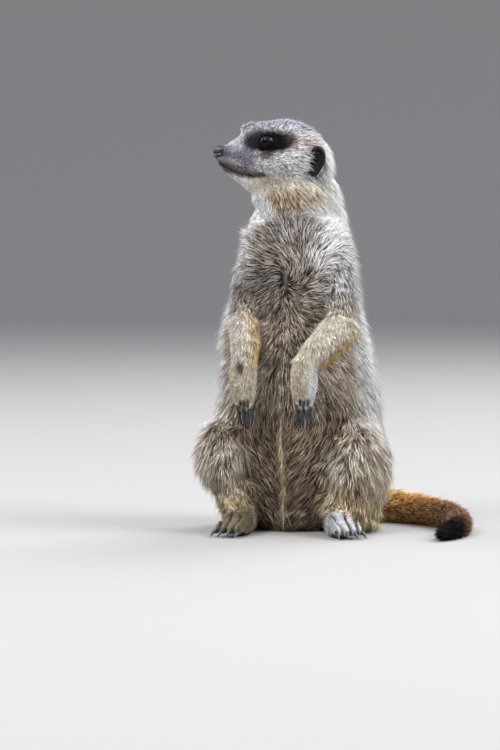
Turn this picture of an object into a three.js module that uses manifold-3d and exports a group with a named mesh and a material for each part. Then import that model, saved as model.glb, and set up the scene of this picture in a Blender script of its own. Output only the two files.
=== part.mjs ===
// A meerkat sitting upright on its haunches, at life size, in millimetres. +Z is up, the floor is z = 0
// and the chest faces -Y, so the animal's left side is +X. The head is turned to the animal's right.
// Each piece shows the outline of the coat, and is parted from its neighbours by a thin gap.
import * as THREE from 'three';
import { mergeVertices } from 'three/addons/utils/BufferGeometryUtils.js';
import Module from 'manifold-3d';

const wasm = await Module();
wasm.setup();

// Driving dimensions.
const SITTING_HEIGHT = 255;
const HEAD_LENGTH = 75;
const HIP_WIDTH = 122;
const TAIL_RADIUS = 12.5;
const FORELIMB_RADIUS = 11;
const CLAW_LENGTH = 12;
const HEAD_TURN = 80; // degrees from straight ahead to the animal's right
const GAP = 0.35; // clear space between neighbouring pieces
const BEYOND = 600; // larger than the whole animal, for cutting blocks

const SIDES = { left: 1, right: -1 };
const X = new THREE.Vector3(1, 0, 0);
const Y = new THREE.Vector3(0, 1, 0);
const Z = new THREE.Vector3(0, 0, 1);

const COLOURS = {
  coat: { color: 0xb3a286, roughness: 0.9 },
  pale: { color: 0xd2c8b4, roughness: 0.9 },
  ochre: { color: 0xb0854a, roughness: 0.9 },
  dark: { color: 0x2a221f, roughness: 0.85 },
  leather: { color: 0x1d1a1b, roughness: 0.5 },
  eye: { color: 0x140c08, roughness: 0.08 },
  claw: { color: 0x2b2f36, roughness: 0.4 },
};

// ---------------------------------------------------------------- tools

const vector = ([x, y, z]) => new THREE.Vector3(x, y, z);

// A smooth function of 0 to 1 through evenly spaced values.
function smooth(values) {
  const stations = values.map((_, i) => i / (values.length - 1));
  const curve = new THREE.CubicInterpolant(stations, values, 1, new Float32Array(1));
  return (t) => curve.evaluate(THREE.MathUtils.clamp(t, 0, 1))[0];
}

// 1 along the middle of a form, falling to 0 like a quarter ellipse over the share `cap` at each end.
function rounding(t, [first, last]) {
  const short = Math.max(0, 1 - t / first, 1 - (1 - t) / last);
  return Math.sqrt(Math.max(0, 1 - short * short));
}

// A closed form swept along a smooth path. Its section is an oval, `wide` to each side along `across`
// and `deep` through it. `narrow` draws in the side that the through direction points at. The sections
// face along the path, or all face one way where `ahead` is given.
function sweep({ path, wide, deep = wide, narrow = [0, 0], across = X, ahead, cap = [0.2, 0.2],
  around = 16, along = 10, grow = 0 }) {
  const curve = new THREE.CatmullRomCurve3(path.map(vector), false, 'centripetal');
  const [widths, depths, draws] = [smooth(wide), smooth(deep), smooth(narrow)];
  const geometry = new THREE.SphereGeometry(1, around, along);
  const places = geometry.getAttribute('position');
  for (let i = 0; i < places.count; i += 1) {
    const share = Math.acos(THREE.MathUtils.clamp(places.getY(i), -1, 1)) / Math.PI;
    const t = THREE.MathUtils.lerp(share, (1 - Math.cos(Math.PI * share)) / 2, 0.7);
    const turn = Math.atan2(-places.getZ(i), -places.getX(i));
    const tangent = ahead ?? curve.getTangent(t);
    const side = across.clone().addScaledVector(tangent, -across.dot(tangent)).normalize();
    const through = tangent.clone().cross(side);
    const round = share > 0 && share < 1 ? rounding(t, cap) : 0;
    const reach = (radius) => (radius + grow) * round;
    const half = reach(widths(t)) * (1 - draws(t) * Math.sin(turn));
    const point = curve.getPoint(t)
      .addScaledVector(tangent, grow * (2 * t - 1))
      .addScaledVector(side, half * Math.cos(turn))
      .addScaledVector(through, reach(depths(t)) * Math.sin(turn));
    places.setXYZ(i, point.x, point.y, point.z);
  }
  return geometry;
}

// Pushes the surface near a point along a direction, fading over `reach` like a bell curve.
function swell(geometry, { at, reach, push }) {
  const places = geometry.getAttribute('position');
  const point = new THREE.Vector3();
  for (let i = 0; i < places.count; i += 1) {
    point.fromBufferAttribute(places, i);
    const fade = Math.exp(-((point.distanceTo(at) / reach) ** 2));
    point.addScaledVector(push, fade);
    places.setXYZ(i, point.x, point.y, point.z);
  }
  return geometry;
}

// The exact solid of a closed geometry.
function solid(geometry) {
  const bare = geometry.index ? geometry.toNonIndexed() : geometry.clone();
  bare.deleteAttribute('normal');
  bare.deleteAttribute('uv');
  const merged = mergeVertices(bare, 1e-4);
  return new wasm.Manifold(new wasm.Mesh({
    numProp: 3,
    vertProperties: merged.getAttribute('position').array,
    triVerts: new Uint32Array(merged.index.array),
  }));
}

const form = (options, grow = 0) => solid(sweep({ ...options, grow }));
const join = (...solids) => solids.reduce((a, b) => a.add(b));
const without = (whole, ...solids) => solids.reduce((a, b) => a.subtract(b), whole);

// The largest body of a cut solid, which drops the slivers that a cut leaves.
function largest(cut) {
  return cut.decompose().sort((a, b) => b.volume() - a.volume())[0];
}

// A block that fills everything on the side of a plane that its normal points at.
function beyond(point, normal) {
  const geometry = new THREE.BoxGeometry(BEYOND, BEYOND, BEYOND);
  const turn = new THREE.Quaternion().setFromUnitVectors(Z, normal.clone().normalize());
  const middle = point.clone().addScaledVector(normal.clone().normalize(), BEYOND / 2);
  geometry.applyMatrix4(new THREE.Matrix4().compose(middle, turn, new THREE.Vector3(1, 1, 1)));
  return solid(geometry);
}

// The two sides of a solid parted at a plane by the thin gap: [before it, after it].
function part(whole, point, normal) {
  const step = normal.clone().normalize().multiplyScalar(GAP / 2);
  return [
    whole.intersect(beyond(point.clone().sub(step), normal.clone().negate())),
    whole.intersect(beyond(point.clone().add(step), normal)),
  ];
}

// An ellipsoid with the given half sizes, turned about Z and moved into place.
function ellipsoid(at, halves, turn = 0, around = 16, along = 10) {
  const geometry = new THREE.SphereGeometry(1, around, along);
  geometry.scale(...halves).rotateZ(turn).translate(at.x, at.y, at.z);
  return geometry;
}

function mesh(name, whole, colour) {
  const { numProp, numVert, vertProperties, triVerts } = largest(whole).getMesh();
  const places = new Float32Array(numVert * 3);
  for (let i = 0; i < numVert; i += 1) {
    places.set(vertProperties.subarray(i * numProp, i * numProp + 3), i * 3);
  }
  const geometry = new THREE.BufferGeometry();
  geometry.setAttribute('position', new THREE.BufferAttribute(places, 3));
  geometry.setIndex(new THREE.BufferAttribute(new Uint32Array(triVerts), 1));
  geometry.computeVertexNormals();
  const made = new THREE.Mesh(geometry, new THREE.MeshStandardMaterial({ metalness: 0, ...COLOURS[colour] }));
  made.name = name;
  return made;
}

const floor = beyond(new THREE.Vector3(0, 0, 0), Z.clone().negate());

// ---------------------------------------------------------------- trunk and neck

// Stations up the body from the seat to the inside of the head: share of the sitting height, place
// across and back, half-width as a share of half the hips, and half-depth.
const TORSO_STATIONS = [
  [-0.03, 1, 25, 0.64, 37],
  [0.07, 1, 20.5, 0.8, 44.5],
  [0.17, 1, 16, 0.87, 48.5],
  [0.28, 1.5, 13.5, 0.877, 49],
  [0.385, 0.5, 11.5, 0.836, 46],
  [0.49, -0.5, 9, 0.746, 41.5],
  [0.585, -0.5, 6.5, 0.68, 37.5],
  [0.66, 0.5, 5, 0.631, 34.5],
  [0.73, 1.5, 3, 0.557, 31],
  [0.79, 3.5, 0, 0.467, 26.5],
  [0.85, 3.5, -3, 0.407, 24],
  [0.9, 2.5, -4, 0.352, 21],
];
const TORSO = {
  path: TORSO_STATIONS.map(([share, x, y]) => [x, y, share * SITTING_HEIGHT]),
  wide: TORSO_STATIONS.map(([, , , share]) => share * HIP_WIDTH / 2),
  deep: TORSO_STATIONS.map(([, , , , deep]) => deep),
  ahead: Z,
  cap: [0.1, 0.06],
  around: 24,
  along: 22,
};
const WAIST = new THREE.Vector3(0, 0, 0.44 * SITTING_HEIGHT);
const COLLAR = new THREE.Vector3(3, 2, 0.745 * SITTING_HEIGHT);
const COLLAR_TILT = new THREE.Vector3(0.08, -0.12, 1);

function torsoPieces() {
  const [trunk, neck] = part(form(TORSO), COLLAR, COLLAR_TILT);
  const [abdomen, chest] = part(trunk, WAIST, Z);
  return { abdomen, chest, neck };
}

// ---------------------------------------------------------------- head

// A point of the head, from its middle: towards the nose, to the animal's left and up.
const HEAD_MIDDLE = new THREE.Vector3(1, -4, 0.898 * SITTING_HEIGHT);
const facing = Y.clone().negate().applyAxisAngle(Z, -THREE.MathUtils.degToRad(HEAD_TURN));
const leftward = Z.clone().cross(facing);
const inHead = (forward, left, up) => HEAD_MIDDLE.clone()
  .addScaledVector(facing, forward).addScaledVector(leftward, left).addScaledVector(Z, up);
const headTurn = Math.atan2(facing.y, facing.x);

// Sections from the back of the skull to the muzzle: place, crown, chin, half-width and how far the top
// draws in.
const HEAD_SECTIONS = [
  [-0.345, 4, -11, 17, 0],
  [-0.28, 11.2, -18, 21.5, 0],
  [-0.16, 20.7, -22, 24.5, 0.04],
  [0, 25.6, -22.5, 25, 0.08],
  [0.13, 26, -21.5, 23.5, 0.12],
  [0.24, 24.8, -20, 20, 0.16],
  [0.33, 23.6, -18.3, 16, 0.18],
  [0.41, 19.8, -15.3, 12.5, 0.16],
  [0.47, 14.2, -12.5, 10.3, 0.12],
  [0.54, 11.9, -8.4, 8.5, 0.1],
  [0.6, 10.6, -4, 7, 0.08],
  [0.635, 9.2, -0.5, 5.6, 0.06],
].map(([share, ...rest]) => [share * HEAD_LENGTH, ...rest]);
const HEAD = {
  path: HEAD_SECTIONS.map(([forward, crown, chin]) => inHead(forward, 0, (crown + chin) / 2).toArray()),
  wide: HEAD_SECTIONS.map(([, , , half]) => half),
  deep: HEAD_SECTIONS.map(([, crown, chin]) => (crown - chin) / 2),
  narrow: HEAD_SECTIONS.map(([, , , , draw]) => draw),
  across: leftward,
  ahead: facing,
  cap: [0.1, 0.05],
  around: 20,
  along: 22,
};
const EYE = { forward: 0.207 * HEAD_LENGTH, left: 13, up: 12.2, radius: 5.5 };
const EAR = {
  forward: -0.215 * HEAD_LENGTH, left: 21.5, up: 0, halves: [6.8, 6, 9.6], wall: 1.9, flare: 0.25,
  hollow: [2.6, 3.2, -0.4],
};
const NOSE = { forward: 0.605 * HEAD_LENGTH, up: 6.4, halves: [4.2, 4.3, 4.3] };
const NOSTRIL = { forward: 3.4, left: 2.6, up: -0.6, halves: [1.5, 1, 0.9] };
const HEAD_SWELLS = {
  brow: { at: [0.22 * HEAD_LENGTH, 14, 19], reach: 6, out: 1.4 },
  eyeHollow: { at: [0.21 * HEAD_LENGTH, 20, 12], reach: 6, out: -1.8 },
  cheek: { at: [0.04 * HEAD_LENGTH, 23, -9], reach: 10, out: 1.8 },
  whiskerPad: { at: [0.5 * HEAD_LENGTH, 9, -1], reach: 5, out: 1.2 },
};
const MOUTH_SLIT = 0.5; // how far the lips are parted

function headForm(grow = 0) {
  const geometry = sweep({ ...HEAD, grow });
  for (const { at: [forward, left, up], reach, out } of Object.values(HEAD_SWELLS)) {
    for (const side of Object.values(SIDES)) {
      const push = leftward.clone().multiplyScalar(side * out);
      swell(geometry, { at: inHead(forward, side * left, up), reach, push });
    }
  }
  return solid(geometry);
}

// The shut mouth: a thin ribbon across the muzzle, from under the nose back to the corner of the lips.
function mouthSlit() {
  const line = new THREE.CatmullRomCurve3([
    [0.7, -0.4], [0.62, -1.4], [0.54, -4.6], [0.45, -7.6], [0.35, -9.2], [0.25, -9.6],
  ].map(([share, up]) => new THREE.Vector3(share * HEAD_LENGTH, up, 0)));
  const upper = line.getPoints(7);
  const lower = [...upper].reverse().map(({ x, y }) => new THREE.Vector2(x, y - MOUTH_SLIT));
  const outline = new THREE.Shape([...upper.map(({ x, y }) => new THREE.Vector2(x, y)), ...lower]);
  const geometry = new THREE.ExtrudeGeometry(outline, { depth: HEAD_LENGTH, bevelEnabled: false });
  geometry.translate(0, 0, -HEAD_LENGTH / 2);
  const frame = new THREE.Matrix4().makeBasis(facing, Z, facing.clone().cross(Z));
  return solid(geometry.applyMatrix4(frame.setPosition(HEAD_MIDDLE)));
}

function eye(side, grow = 0) {
  const at = inHead(EYE.forward, side * EYE.left, EYE.up);
  const reach = EYE.radius + grow;
  return solid(ellipsoid(at, [reach, reach, reach], headTurn, 10, 8));
}

function noseForm(grow = 0) {
  const at = inHead(NOSE.forward, 0, NOSE.up);
  return solid(ellipsoid(at, NOSE.halves.map((half) => half + grow), headTurn, 12, 8));
}

function nose() {
  const nostrils = Object.values(SIDES).map((side) => {
    const at = inHead(NOSE.forward + NOSTRIL.forward, side * NOSTRIL.left, NOSE.up + NOSTRIL.up);
    return solid(ellipsoid(at, NOSTRIL.halves, headTurn, 6, 4));
  });
  return without(noseForm(), ...nostrils);
}

// A small round cup, open outwards and forwards.
function ear(side) {
  const [forward, out, up] = EAR.hollow;
  const at = inHead(EAR.forward, side * EAR.left, EAR.up);
  const hollowAt = inHead(EAR.forward + forward, side * (EAR.left + out), EAR.up + up);
  const tilt = headTurn - side * EAR.flare;
  const cup = solid(ellipsoid(at, EAR.halves, tilt, 12, 8));
  const hollow = solid(ellipsoid(hollowAt, EAR.halves.map((half) => half - EAR.wall), tilt, 10, 7));
  return without(cup, hollow);
}

// ---------------------------------------------------------------- limbs

// Places of the limbs' joints. The two sides differ because the animal sits a little askew.
const LIMBS = {
  left: {
    shoulder: [22, -3, 176], upperArm: [31, -13, 153], elbow: [35, -27, 129], forearm: [26, -40, 115.5],
    wrist: [17, -48, 105], palm: [15.5, -50, 93], knuckles: [15.5, -49, 81.5],
    hipJoint: [34, 36, 34], thigh: [43, -2, 39], knee: [40, -43, 33], thighHeight: [32, 37, 23],
    heel: [35, 8, 8], instep: [32, -24, 9.5], ball: [36, -45, 8], toes: [46, -60, 5],
  },
  right: {
    shoulder: [-21, -3, 176], upperArm: [-28, -13, 153], elbow: [-27, -27, 130], forearm: [-24.5, -40, 116],
    wrist: [-22.5, -47, 104], palm: [-22, -48.5, 92], knuckles: [-21.5, -47.5, 80.5],
    hipJoint: [-34, 36, 37], thigh: [-41.5, -2, 45], knee: [-38.5, -42, 38], thighHeight: [31, 32, 22],
    heel: [-34, 8, 8], instep: [-26, -26, 9.5], ball: [-24.5, -46, 8.5], toes: [-31, -61, 5],
  },
};
const DIGITS = [-1.5, -0.5, 0.5, 1.5];

// A whole forelimb from the shoulder to the knuckles, which planes at the elbow and wrist divide.
const foreLimb = ({ shoulder, upperArm, elbow, forearm, wrist, palm, knuckles }) => ({
  path: [shoulder, upperArm, elbow, forearm, wrist, palm, knuckles],
  wide: [1.4, 1.3, 1.2, 1.05, 0.85, 0.8, 0.76].map((share) => share * FORELIMB_RADIUS),
  deep: [1.4, 1.3, 1.15, 1, 0.78, 0.62, 0.46].map((share) => share * FORELIMB_RADIUS),
  cap: [0.12, 0.06],
  around: 12,
  along: 16,
});
const thighForm = ({ hipJoint, thigh, knee, thighHeight }) => ({
  path: [hipJoint, thigh, knee],
  wide: [18, 19.5, 16.5],
  deep: thighHeight,
  cap: [0.4, 0.3],
  around: 18,
  along: 11,
});
const shankForm = ({ knee, heel }) => ({
  path: [vector(knee).add(new THREE.Vector3(0, 4, -8)).toArray(),
    vector(knee).lerp(vector(heel), 0.5).add(new THREE.Vector3(0, -2, -5)).toArray(), heel],
  wide: [15, 13, 9],
  deep: [16, 13, 9],
  cap: [0.3, 0.3],
  around: 12,
  along: 7,
});
const soleForm = ({ heel, instep, ball, toes }) => ({
  path: [heel, instep, ball, vector(ball).lerp(vector(toes), 0.3).toArray()],
  wide: [8, 9, 11, 10.5],
  deep: [8, 9.5, 8, 7],
  cap: [0.2, 0.15],
  around: 12,
  along: 8,
});

// One digit: a short finger or toe, arched away from `drop`, and the curved claw at its tip.
function digit({ root, tip, radius, drop, clawLength, clawRadius, lean = new THREE.Vector3() }, grow = 0) {
  const ahead = tip.clone().sub(root).normalize();
  const across = ahead.clone().cross(drop).normalize();
  const arch = root.clone().lerp(tip, 0.55).addScaledVector(drop, -0.9);
  const clawRoot = tip.clone().addScaledVector(ahead, -0.3 * clawLength);
  const clawBend = tip.clone().addScaledVector(ahead, 0.35 * clawLength).addScaledVector(lean, 0.4);
  const clawTip = tip.clone().addScaledVector(ahead, 0.8 * clawLength)
    .addScaledVector(drop, 0.3 * clawLength).add(lean);
  return {
    flesh: form({
      path: [root, arch, tip].map((point) => point.toArray()),
      wide: [radius, radius * 1.02, radius * 0.8],
      deep: [radius, radius * 1.05, radius * 0.8],
      across, cap: [0.2, 0.3], around: 6, along: 4,
    }),
    claw: form({
      path: [clawRoot, clawBend, clawTip].map((point) => point.toArray()),
      wide: [clawRadius, clawRadius * 0.85, clawRadius * 0.25],
      deep: [clawRadius * 1.2, clawRadius, clawRadius * 0.3],
      across, cap: [0.15, 0.1], around: 5, along: 4,
    }, grow),
  };
}

// The four fingers hang side by side from the knuckles, and their claws close up towards the tips.
function fingers({ palm, knuckles }, grow = 0) {
  const down = vector(knuckles).sub(vector(palm)).normalize();
  return DIGITS.map((place) => {
    const root = vector(knuckles).add(new THREE.Vector3(place * 3.8, 0, 6));
    const reach = 13 - 0.8 * Math.abs(place);
    const tip = root.clone().addScaledVector(down, reach).add(new THREE.Vector3(-place * 0.7, -0.4, 0));
    return digit({
      root, tip, radius: 3.1, drop: Y, clawLength: CLAW_LENGTH - Math.abs(place), clawRadius: 1.25,
      lean: X.clone().multiplyScalar(-place * 0.9),
    }, grow);
  });
}

// The four toes arch forward to the floor, spread a little, with their claws down.
function toes({ ball, toes: end }, grow = 0) {
  const ahead = vector(end).sub(vector(ball)).setZ(0).normalize();
  const across = ahead.clone().cross(Z).normalize();
  const length = vector(end).distanceTo(vector(ball));
  return DIGITS.map((place) => {
    const root = vector(ball).addScaledVector(across, place * 4.9).setZ(8);
    const reach = length * (1 - 0.09 * Math.abs(place));
    const tip = root.clone().addScaledVector(ahead, reach).addScaledVector(across, place * 0.7).setZ(4);
    return digit({
      root, tip, radius: 3.8, drop: Z.clone().negate(), clawLength: 0.55 * CLAW_LENGTH, clawRadius: 1.3,
    }, grow);
  });
}

// ---------------------------------------------------------------- tail

// The tail leaves the rump, lies on the floor and curves forward round the animal's left side.
const TAIL_RADII = [1.12, 1, 0.88, 0.78, 0.7, 0.62, 0.54, 0.42].map((share) => share * TAIL_RADIUS);
const TAIL_ROUTE = [[6, 50], [24, 65], [48, 66], [72, 54], [92, 31], [104, 1], [106, -31], [100, -62]];
const TAIL_SINK = 0.6; // how far the tail is flattened where it lies on the floor
const TAIL = {
  path: TAIL_ROUTE.map(([x, y], i) => [x, y, TAIL_RADII[i] - TAIL_SINK]),
  wide: TAIL_RADII,
  across: Z,
  cap: [0.06, 0.1],
  around: 10,
  along: 22,
};
const TAIL_CUTS = [0.36, 0.56, 0.76];

function tailLengths(rump) {
  const curve = new THREE.CatmullRomCurve3(TAIL.path.map(vector), false, 'centripetal');
  const lengths = [without(form(TAIL), rump, floor)];
  for (const share of TAIL_CUTS) {
    lengths.push(...part(lengths.pop(), curve.getPoint(share), curve.getTangent(share)));
  }
  return lengths;
}

// ---------------------------------------------------------------- assembly

const grown = (options) => form(options, GAP);
const torsoGrown = grown(TORSO);
const headGrown = headForm(GAP);
const animal = new THREE.Group();

function addHead() {
  const eyes = Object.values(SIDES).map((side) => eye(side, GAP));
  animal.add(mesh('head', without(headForm(), noseForm(GAP), mouthSlit(), ...eyes), 'coat'));
  animal.add(mesh('nose', nose(), 'leather'));
  for (const [name, side] of Object.entries(SIDES)) {
    animal.add(mesh(`eye_${name}`, eye(side), 'eye'));
    animal.add(mesh(`ear_${name}`, without(ear(side), headGrown), 'dark'));
  }
}

function addTorso() {
  const { abdomen, chest, neck } = torsoPieces();
  animal.add(mesh('neck', without(neck, headGrown), 'pale'));
  animal.add(mesh('chest', chest, 'coat'));
  animal.add(mesh('abdomen', without(abdomen, floor), 'coat'));
}

function addForelimb(name) {
  const places = LIMBS[name];
  const { elbow, forearm, upperArm: above, wrist, palm } = places;
  const whole = without(form(foreLimb(places)), torsoGrown, headGrown);
  const [upper, rest] = part(whole, vector(elbow), vector(forearm).sub(vector(above)));
  const [lower, hand] = part(rest, vector(wrist), vector(palm).sub(vector(forearm)));
  const sockets = fingers(places, GAP).map(({ claw }) => claw);
  const flesh = join(hand, ...fingers(places).map((made) => made.flesh));
  animal.add(mesh(`upper_arm_${name}`, upper, 'coat'));
  animal.add(mesh(`forearm_${name}`, lower, 'pale'));
  animal.add(mesh(`hand_${name}`, without(flesh, ...sockets), 'pale'));
  fingers(places).forEach(({ claw }, i) => {
    animal.add(mesh(`hand_claw_${name}_${i + 1}`, without(claw, ...sockets.slice(0, i)), 'claw'));
  });
}

function addHindlimb(name) {
  const places = LIMBS[name];
  const [thigh, shank, sole] = [thighForm(places), shankForm(places), soleForm(places)];
  const sockets = toes(places, GAP).map(({ claw }) => claw);
  const flesh = join(form(sole), ...toes(places).map((made) => made.flesh));
  const above = [grown(thigh), grown(shank), torsoGrown];
  animal.add(mesh(`thigh_${name}`, without(form(thigh), torsoGrown, floor), 'coat'));
  animal.add(mesh(`shank_${name}`, without(form(shank), grown(thigh), torsoGrown, floor), 'ochre'));
  animal.add(mesh(`foot_${name}`, without(flesh, ...above, floor, ...sockets), 'pale'));
  toes(places).forEach(({ claw }, i) => {
    animal.add(mesh(`foot_claw_${name}_${i + 1}`, without(claw, floor, ...sockets.slice(0, i)), 'claw'));
  });
}

function addTail() {
  const colours = ['ochre', 'ochre', 'coat', 'dark'];
  tailLengths(torsoGrown).forEach((length, i) => {
    animal.add(mesh(`tail_${i + 1}`, length, colours[i]));
  });
}

addHead();
addTorso();
for (const name of Object.keys(SIDES)) {
  addForelimb(name);
  addHindlimb(name);
}
addTail();

// The origin is on the floor, under the middle of the whole animal.
const extent = new THREE.Box3().setFromObject(animal);
const middle = extent.getCenter(new THREE.Vector3());
animal.position.set(-middle.x, -middle.y, 0);

export default animal;
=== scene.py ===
# A meerkat sitting upright on its haunches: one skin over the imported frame, the coat that grows on it in
# tufts, and the eyes, lids, nose, ears, claws and whiskers. Shapes are worked out in millimetres, in the
# frame's own axes: +Z is up, the floor is z = 0 and the chest faces -Y. The animal's left side is +X.
import math

import bmesh
import bpy
import numpy as np
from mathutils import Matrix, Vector


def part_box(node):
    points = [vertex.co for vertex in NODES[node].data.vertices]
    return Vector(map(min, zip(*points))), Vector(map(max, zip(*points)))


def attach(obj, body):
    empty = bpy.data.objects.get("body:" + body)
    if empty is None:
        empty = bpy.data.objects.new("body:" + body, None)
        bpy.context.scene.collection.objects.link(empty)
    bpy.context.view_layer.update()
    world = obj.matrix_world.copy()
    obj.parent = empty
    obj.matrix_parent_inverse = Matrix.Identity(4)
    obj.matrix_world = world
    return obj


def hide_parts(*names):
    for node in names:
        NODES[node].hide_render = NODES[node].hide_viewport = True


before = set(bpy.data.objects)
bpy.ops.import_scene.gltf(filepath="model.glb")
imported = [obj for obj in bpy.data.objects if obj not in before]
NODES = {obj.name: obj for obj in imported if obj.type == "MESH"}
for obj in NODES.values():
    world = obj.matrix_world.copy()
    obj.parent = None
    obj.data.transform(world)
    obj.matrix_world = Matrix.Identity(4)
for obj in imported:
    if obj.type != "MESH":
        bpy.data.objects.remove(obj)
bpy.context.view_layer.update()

MM = 0.001
BODY = "root"
SIDES = {"left": 1, "right": -1}
UP = np.array([0.0, 0.0, 1.0])
DOWN = -UP


# ---------------------------------------------------------------- numbers and colours


def unit(vectors):
    """Each vector divided by its own length."""
    return vectors / np.maximum(np.linalg.norm(vectors, axis=-1, keepdims=True), 1e-9)


def fade(value, full, none):
    """1 at `full` and beyond it, 0 at `none` and beyond it, and a smooth step 1 - t^2 (3 - 2 t) between."""
    t = np.clip((value - full) / (none - full), 0, 1)
    return 1 - t * t * (3 - 2 * t)


def bell(distance, reach):
    """exp(-(distance / reach)^2)."""
    return np.exp(-((distance / reach) ** 2))


def blend(a, b, share):
    """a where share is 0 and b where it is 1, row by row."""
    share = np.asarray(share)[..., None]
    return a * (1 - share) + b * share


def linear(red, green, blue):
    """A display colour, 0 to 255, as linear light."""
    c = np.array([red, green, blue]) / 255
    return np.where(c <= 0.04045, c / 12.92, ((c + 0.055) / 1.055) ** 2.4)


def waves(points, size, seed, count=5):
    """A smooth random field of about -1 to 1: the mean of sines of random directions and phases, about
    one wave in each stretch of the given size."""
    rng = np.random.default_rng(seed)
    ways = unit(rng.normal(size=(count, 3))) * 2 * math.pi / size * rng.uniform(0.7, 1.4, (count, 1))
    return np.sin(points @ ways.T + rng.uniform(0, 2 * math.pi, count)).mean(1) * 1.6


# ---------------------------------------------------------------- meshes


def read_rows(rows, attribute, width, kind=np.float32):
    """One attribute of a mesh's vertices, edges or loops, in rows of that width."""
    flat = np.empty(len(rows) * width, kind)
    rows.foreach_get(attribute, flat)
    return flat.reshape(-1, width)


def read_points(mesh):
    """The vertices of a mesh, in millimetres."""
    return read_rows(mesh.vertices, "co", 3).astype(float) / MM


def read_normals(mesh):
    return read_rows(mesh.vertex_normals, "vector", 3).astype(float)


def read_edges(mesh):
    return read_rows(mesh.edges, "vertices", 2, np.int32)


def read_triangles(mesh, attribute="vertices"):
    """The three vertices of each triangle, or its three loops."""
    mesh.calc_loop_triangles()
    return read_rows(mesh.loop_triangles, attribute, 3, np.int32)


def write_points(mesh, points):
    mesh.vertices.foreach_set("co", (points * MM).ravel())
    mesh.update()


def make_mesh(name, points, faces):
    """A smooth mesh of points in millimetres and faces that all have the same number of corners."""
    mesh = bpy.data.meshes.new(name)
    mesh.vertices.add(len(points))
    mesh.vertices.foreach_set("co", (np.asarray(points, float) * MM).ravel())
    mesh.loops.add(faces.size)
    mesh.loops.foreach_set("vertex_index", faces.astype(np.int32).ravel())
    mesh.polygons.add(len(faces))
    starts = np.arange(len(faces), dtype=np.int32) * faces.shape[1]
    mesh.polygons.foreach_set("loop_start", starts)
    mesh.update(calc_edges=True)
    mesh.shade_smooth()
    return mesh


def outward(points, faces):
    """The triangles of a closed surface turned to point outwards: the volume that they enclose is the sum
    of a . (b x c) / 6, and where it is negative every triangle is turned round."""
    a, b, c = (points[faces[:, i]] for i in range(3))
    return faces if np.einsum("ij,ij->", a, np.cross(b, c)) > 0 else faces[:, ::-1]


def loft(rings):
    """A closed surface through rings of points, (rows, around, 3). Each end closes on its ring's middle."""
    rows, around = rings.shape[:2]
    points = np.concatenate([rings.reshape(-1, 3), rings[[0, -1]].mean(1)])
    row, turn = np.mgrid[0:rows - 1, 0:around]
    a, b = row * around + turn, row * around + (turn + 1) % around
    sides = np.stack([a, b, b + around, a, b + around, a + around], -1).reshape(-1, 3)
    turn = np.arange(around)
    after, first, last = (turn + 1) % around, np.full(around, rows * around), (rows - 1) * around
    caps = [np.stack([first, after, turn], 1), np.stack([first + 1, last + turn, last + after], 1)]
    faces = np.concatenate([sides, *caps])
    return points, outward(points, faces)


def closed_band(rings):
    """A closed surface through rings that also join the last ring to the first, like a torus."""
    rows, around = rings.shape[:2]
    row, turn = np.mgrid[0:rows, 0:around]
    a, b = row * around + turn, row * around + (turn + 1) % around
    c, d = (row + 1) % rows * around + turn, (row + 1) % rows * around + (turn + 1) % around
    points = rings.reshape(-1, 3)
    return points, outward(points, np.stack([a, b, d, a, d, c], -1).reshape(-1, 3))


def joined(parts):
    """Several surfaces, each (points, faces), as one."""
    starts = np.cumsum([0] + [len(points) for points, _ in parts[:-1]])
    return (np.concatenate([points for points, _ in parts]),
            np.concatenate([faces + start for (_, faces), start in zip(parts, starts)]))


def curve_through(points, count):
    """count places on a Catmull-Rom curve through points: on each span the cubic with slopes of half the
    chord between the neighbours."""
    points = np.asarray(points, float)
    padded = np.concatenate([[2 * points[0] - points[1]], points, [2 * points[-1] - points[-2]]])
    t = np.linspace(0, len(points) - 1 - 1e-9, count)
    span = t.astype(int)
    t = (t - span)[:, None]
    a, b, c, d = (padded[span + i] for i in range(4))
    return 0.5 * (2 * b + (c - a) * t + (2 * a - 5 * b + 4 * c - d) * t**2
                  + (3 * b - a - 3 * c + d) * t**3)


def tube(path, wide, deep, across, around):
    """Rings of ovals along a path: middle + wide cos(turn) side + deep sin(turn) through, where side is
    `across` squared to the path and through is square to both."""
    ahead = unit(np.gradient(path, axis=0))
    side = unit(across - (ahead @ across)[:, None] * ahead)
    through = np.cross(ahead, side)
    turn = np.linspace(0, 2 * math.pi, around, endpoint=False)
    return (path[:, None] + np.asarray(wide)[:, None, None] * side[:, None] * np.cos(turn)[:, None]
            + np.asarray(deep)[:, None, None] * through[:, None] * np.sin(turn)[:, None])


def in_scene(name, data):
    """A new object, put in the scene."""
    made = bpy.data.objects.new(name, data)
    bpy.context.collection.objects.link(made)
    return made


def dress(name, mesh, material, slot, *nodes):
    """A finished piece: it rides on the body, wears the material and stands for the nodes named, which are
    hidden. The slot is not used.
    """
    piece = in_scene(name, mesh)
    mesh.materials.clear()
    mesh.materials.append(material)
    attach(piece, BODY)
    if nodes:
        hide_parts(*nodes)
    return piece


# ---------------------------------------------------------------- landmarks of the frame


def middle(node):
    low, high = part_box(node)
    return np.array((low + high) / 2) / MM


NOSE_NODE = middle("nose")
EYE_NODES = {side: middle(f"eye_{side}") for side in SIDES}
EYE_RADIUS = float(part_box("eye_left")[1].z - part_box("eye_left")[0].z) / 2 / MM
BETWEEN_EYES = (EYE_NODES["left"] + EYE_NODES["right"]) / 2
FACING = unit((NOSE_NODE - BETWEEN_EYES) * [1, 1, 0])
LEFTWARD = np.cross(UP, FACING)
# The head's own middle lies behind and below the eyes.
EYE_AHEAD, EYE_ABOVE = 15.5, 12.2
HEAD = BETWEEN_EYES - EYE_AHEAD * FACING - EYE_ABOVE * UP
HEAD_AXES = np.stack([FACING, LEFTWARD, UP])
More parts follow.
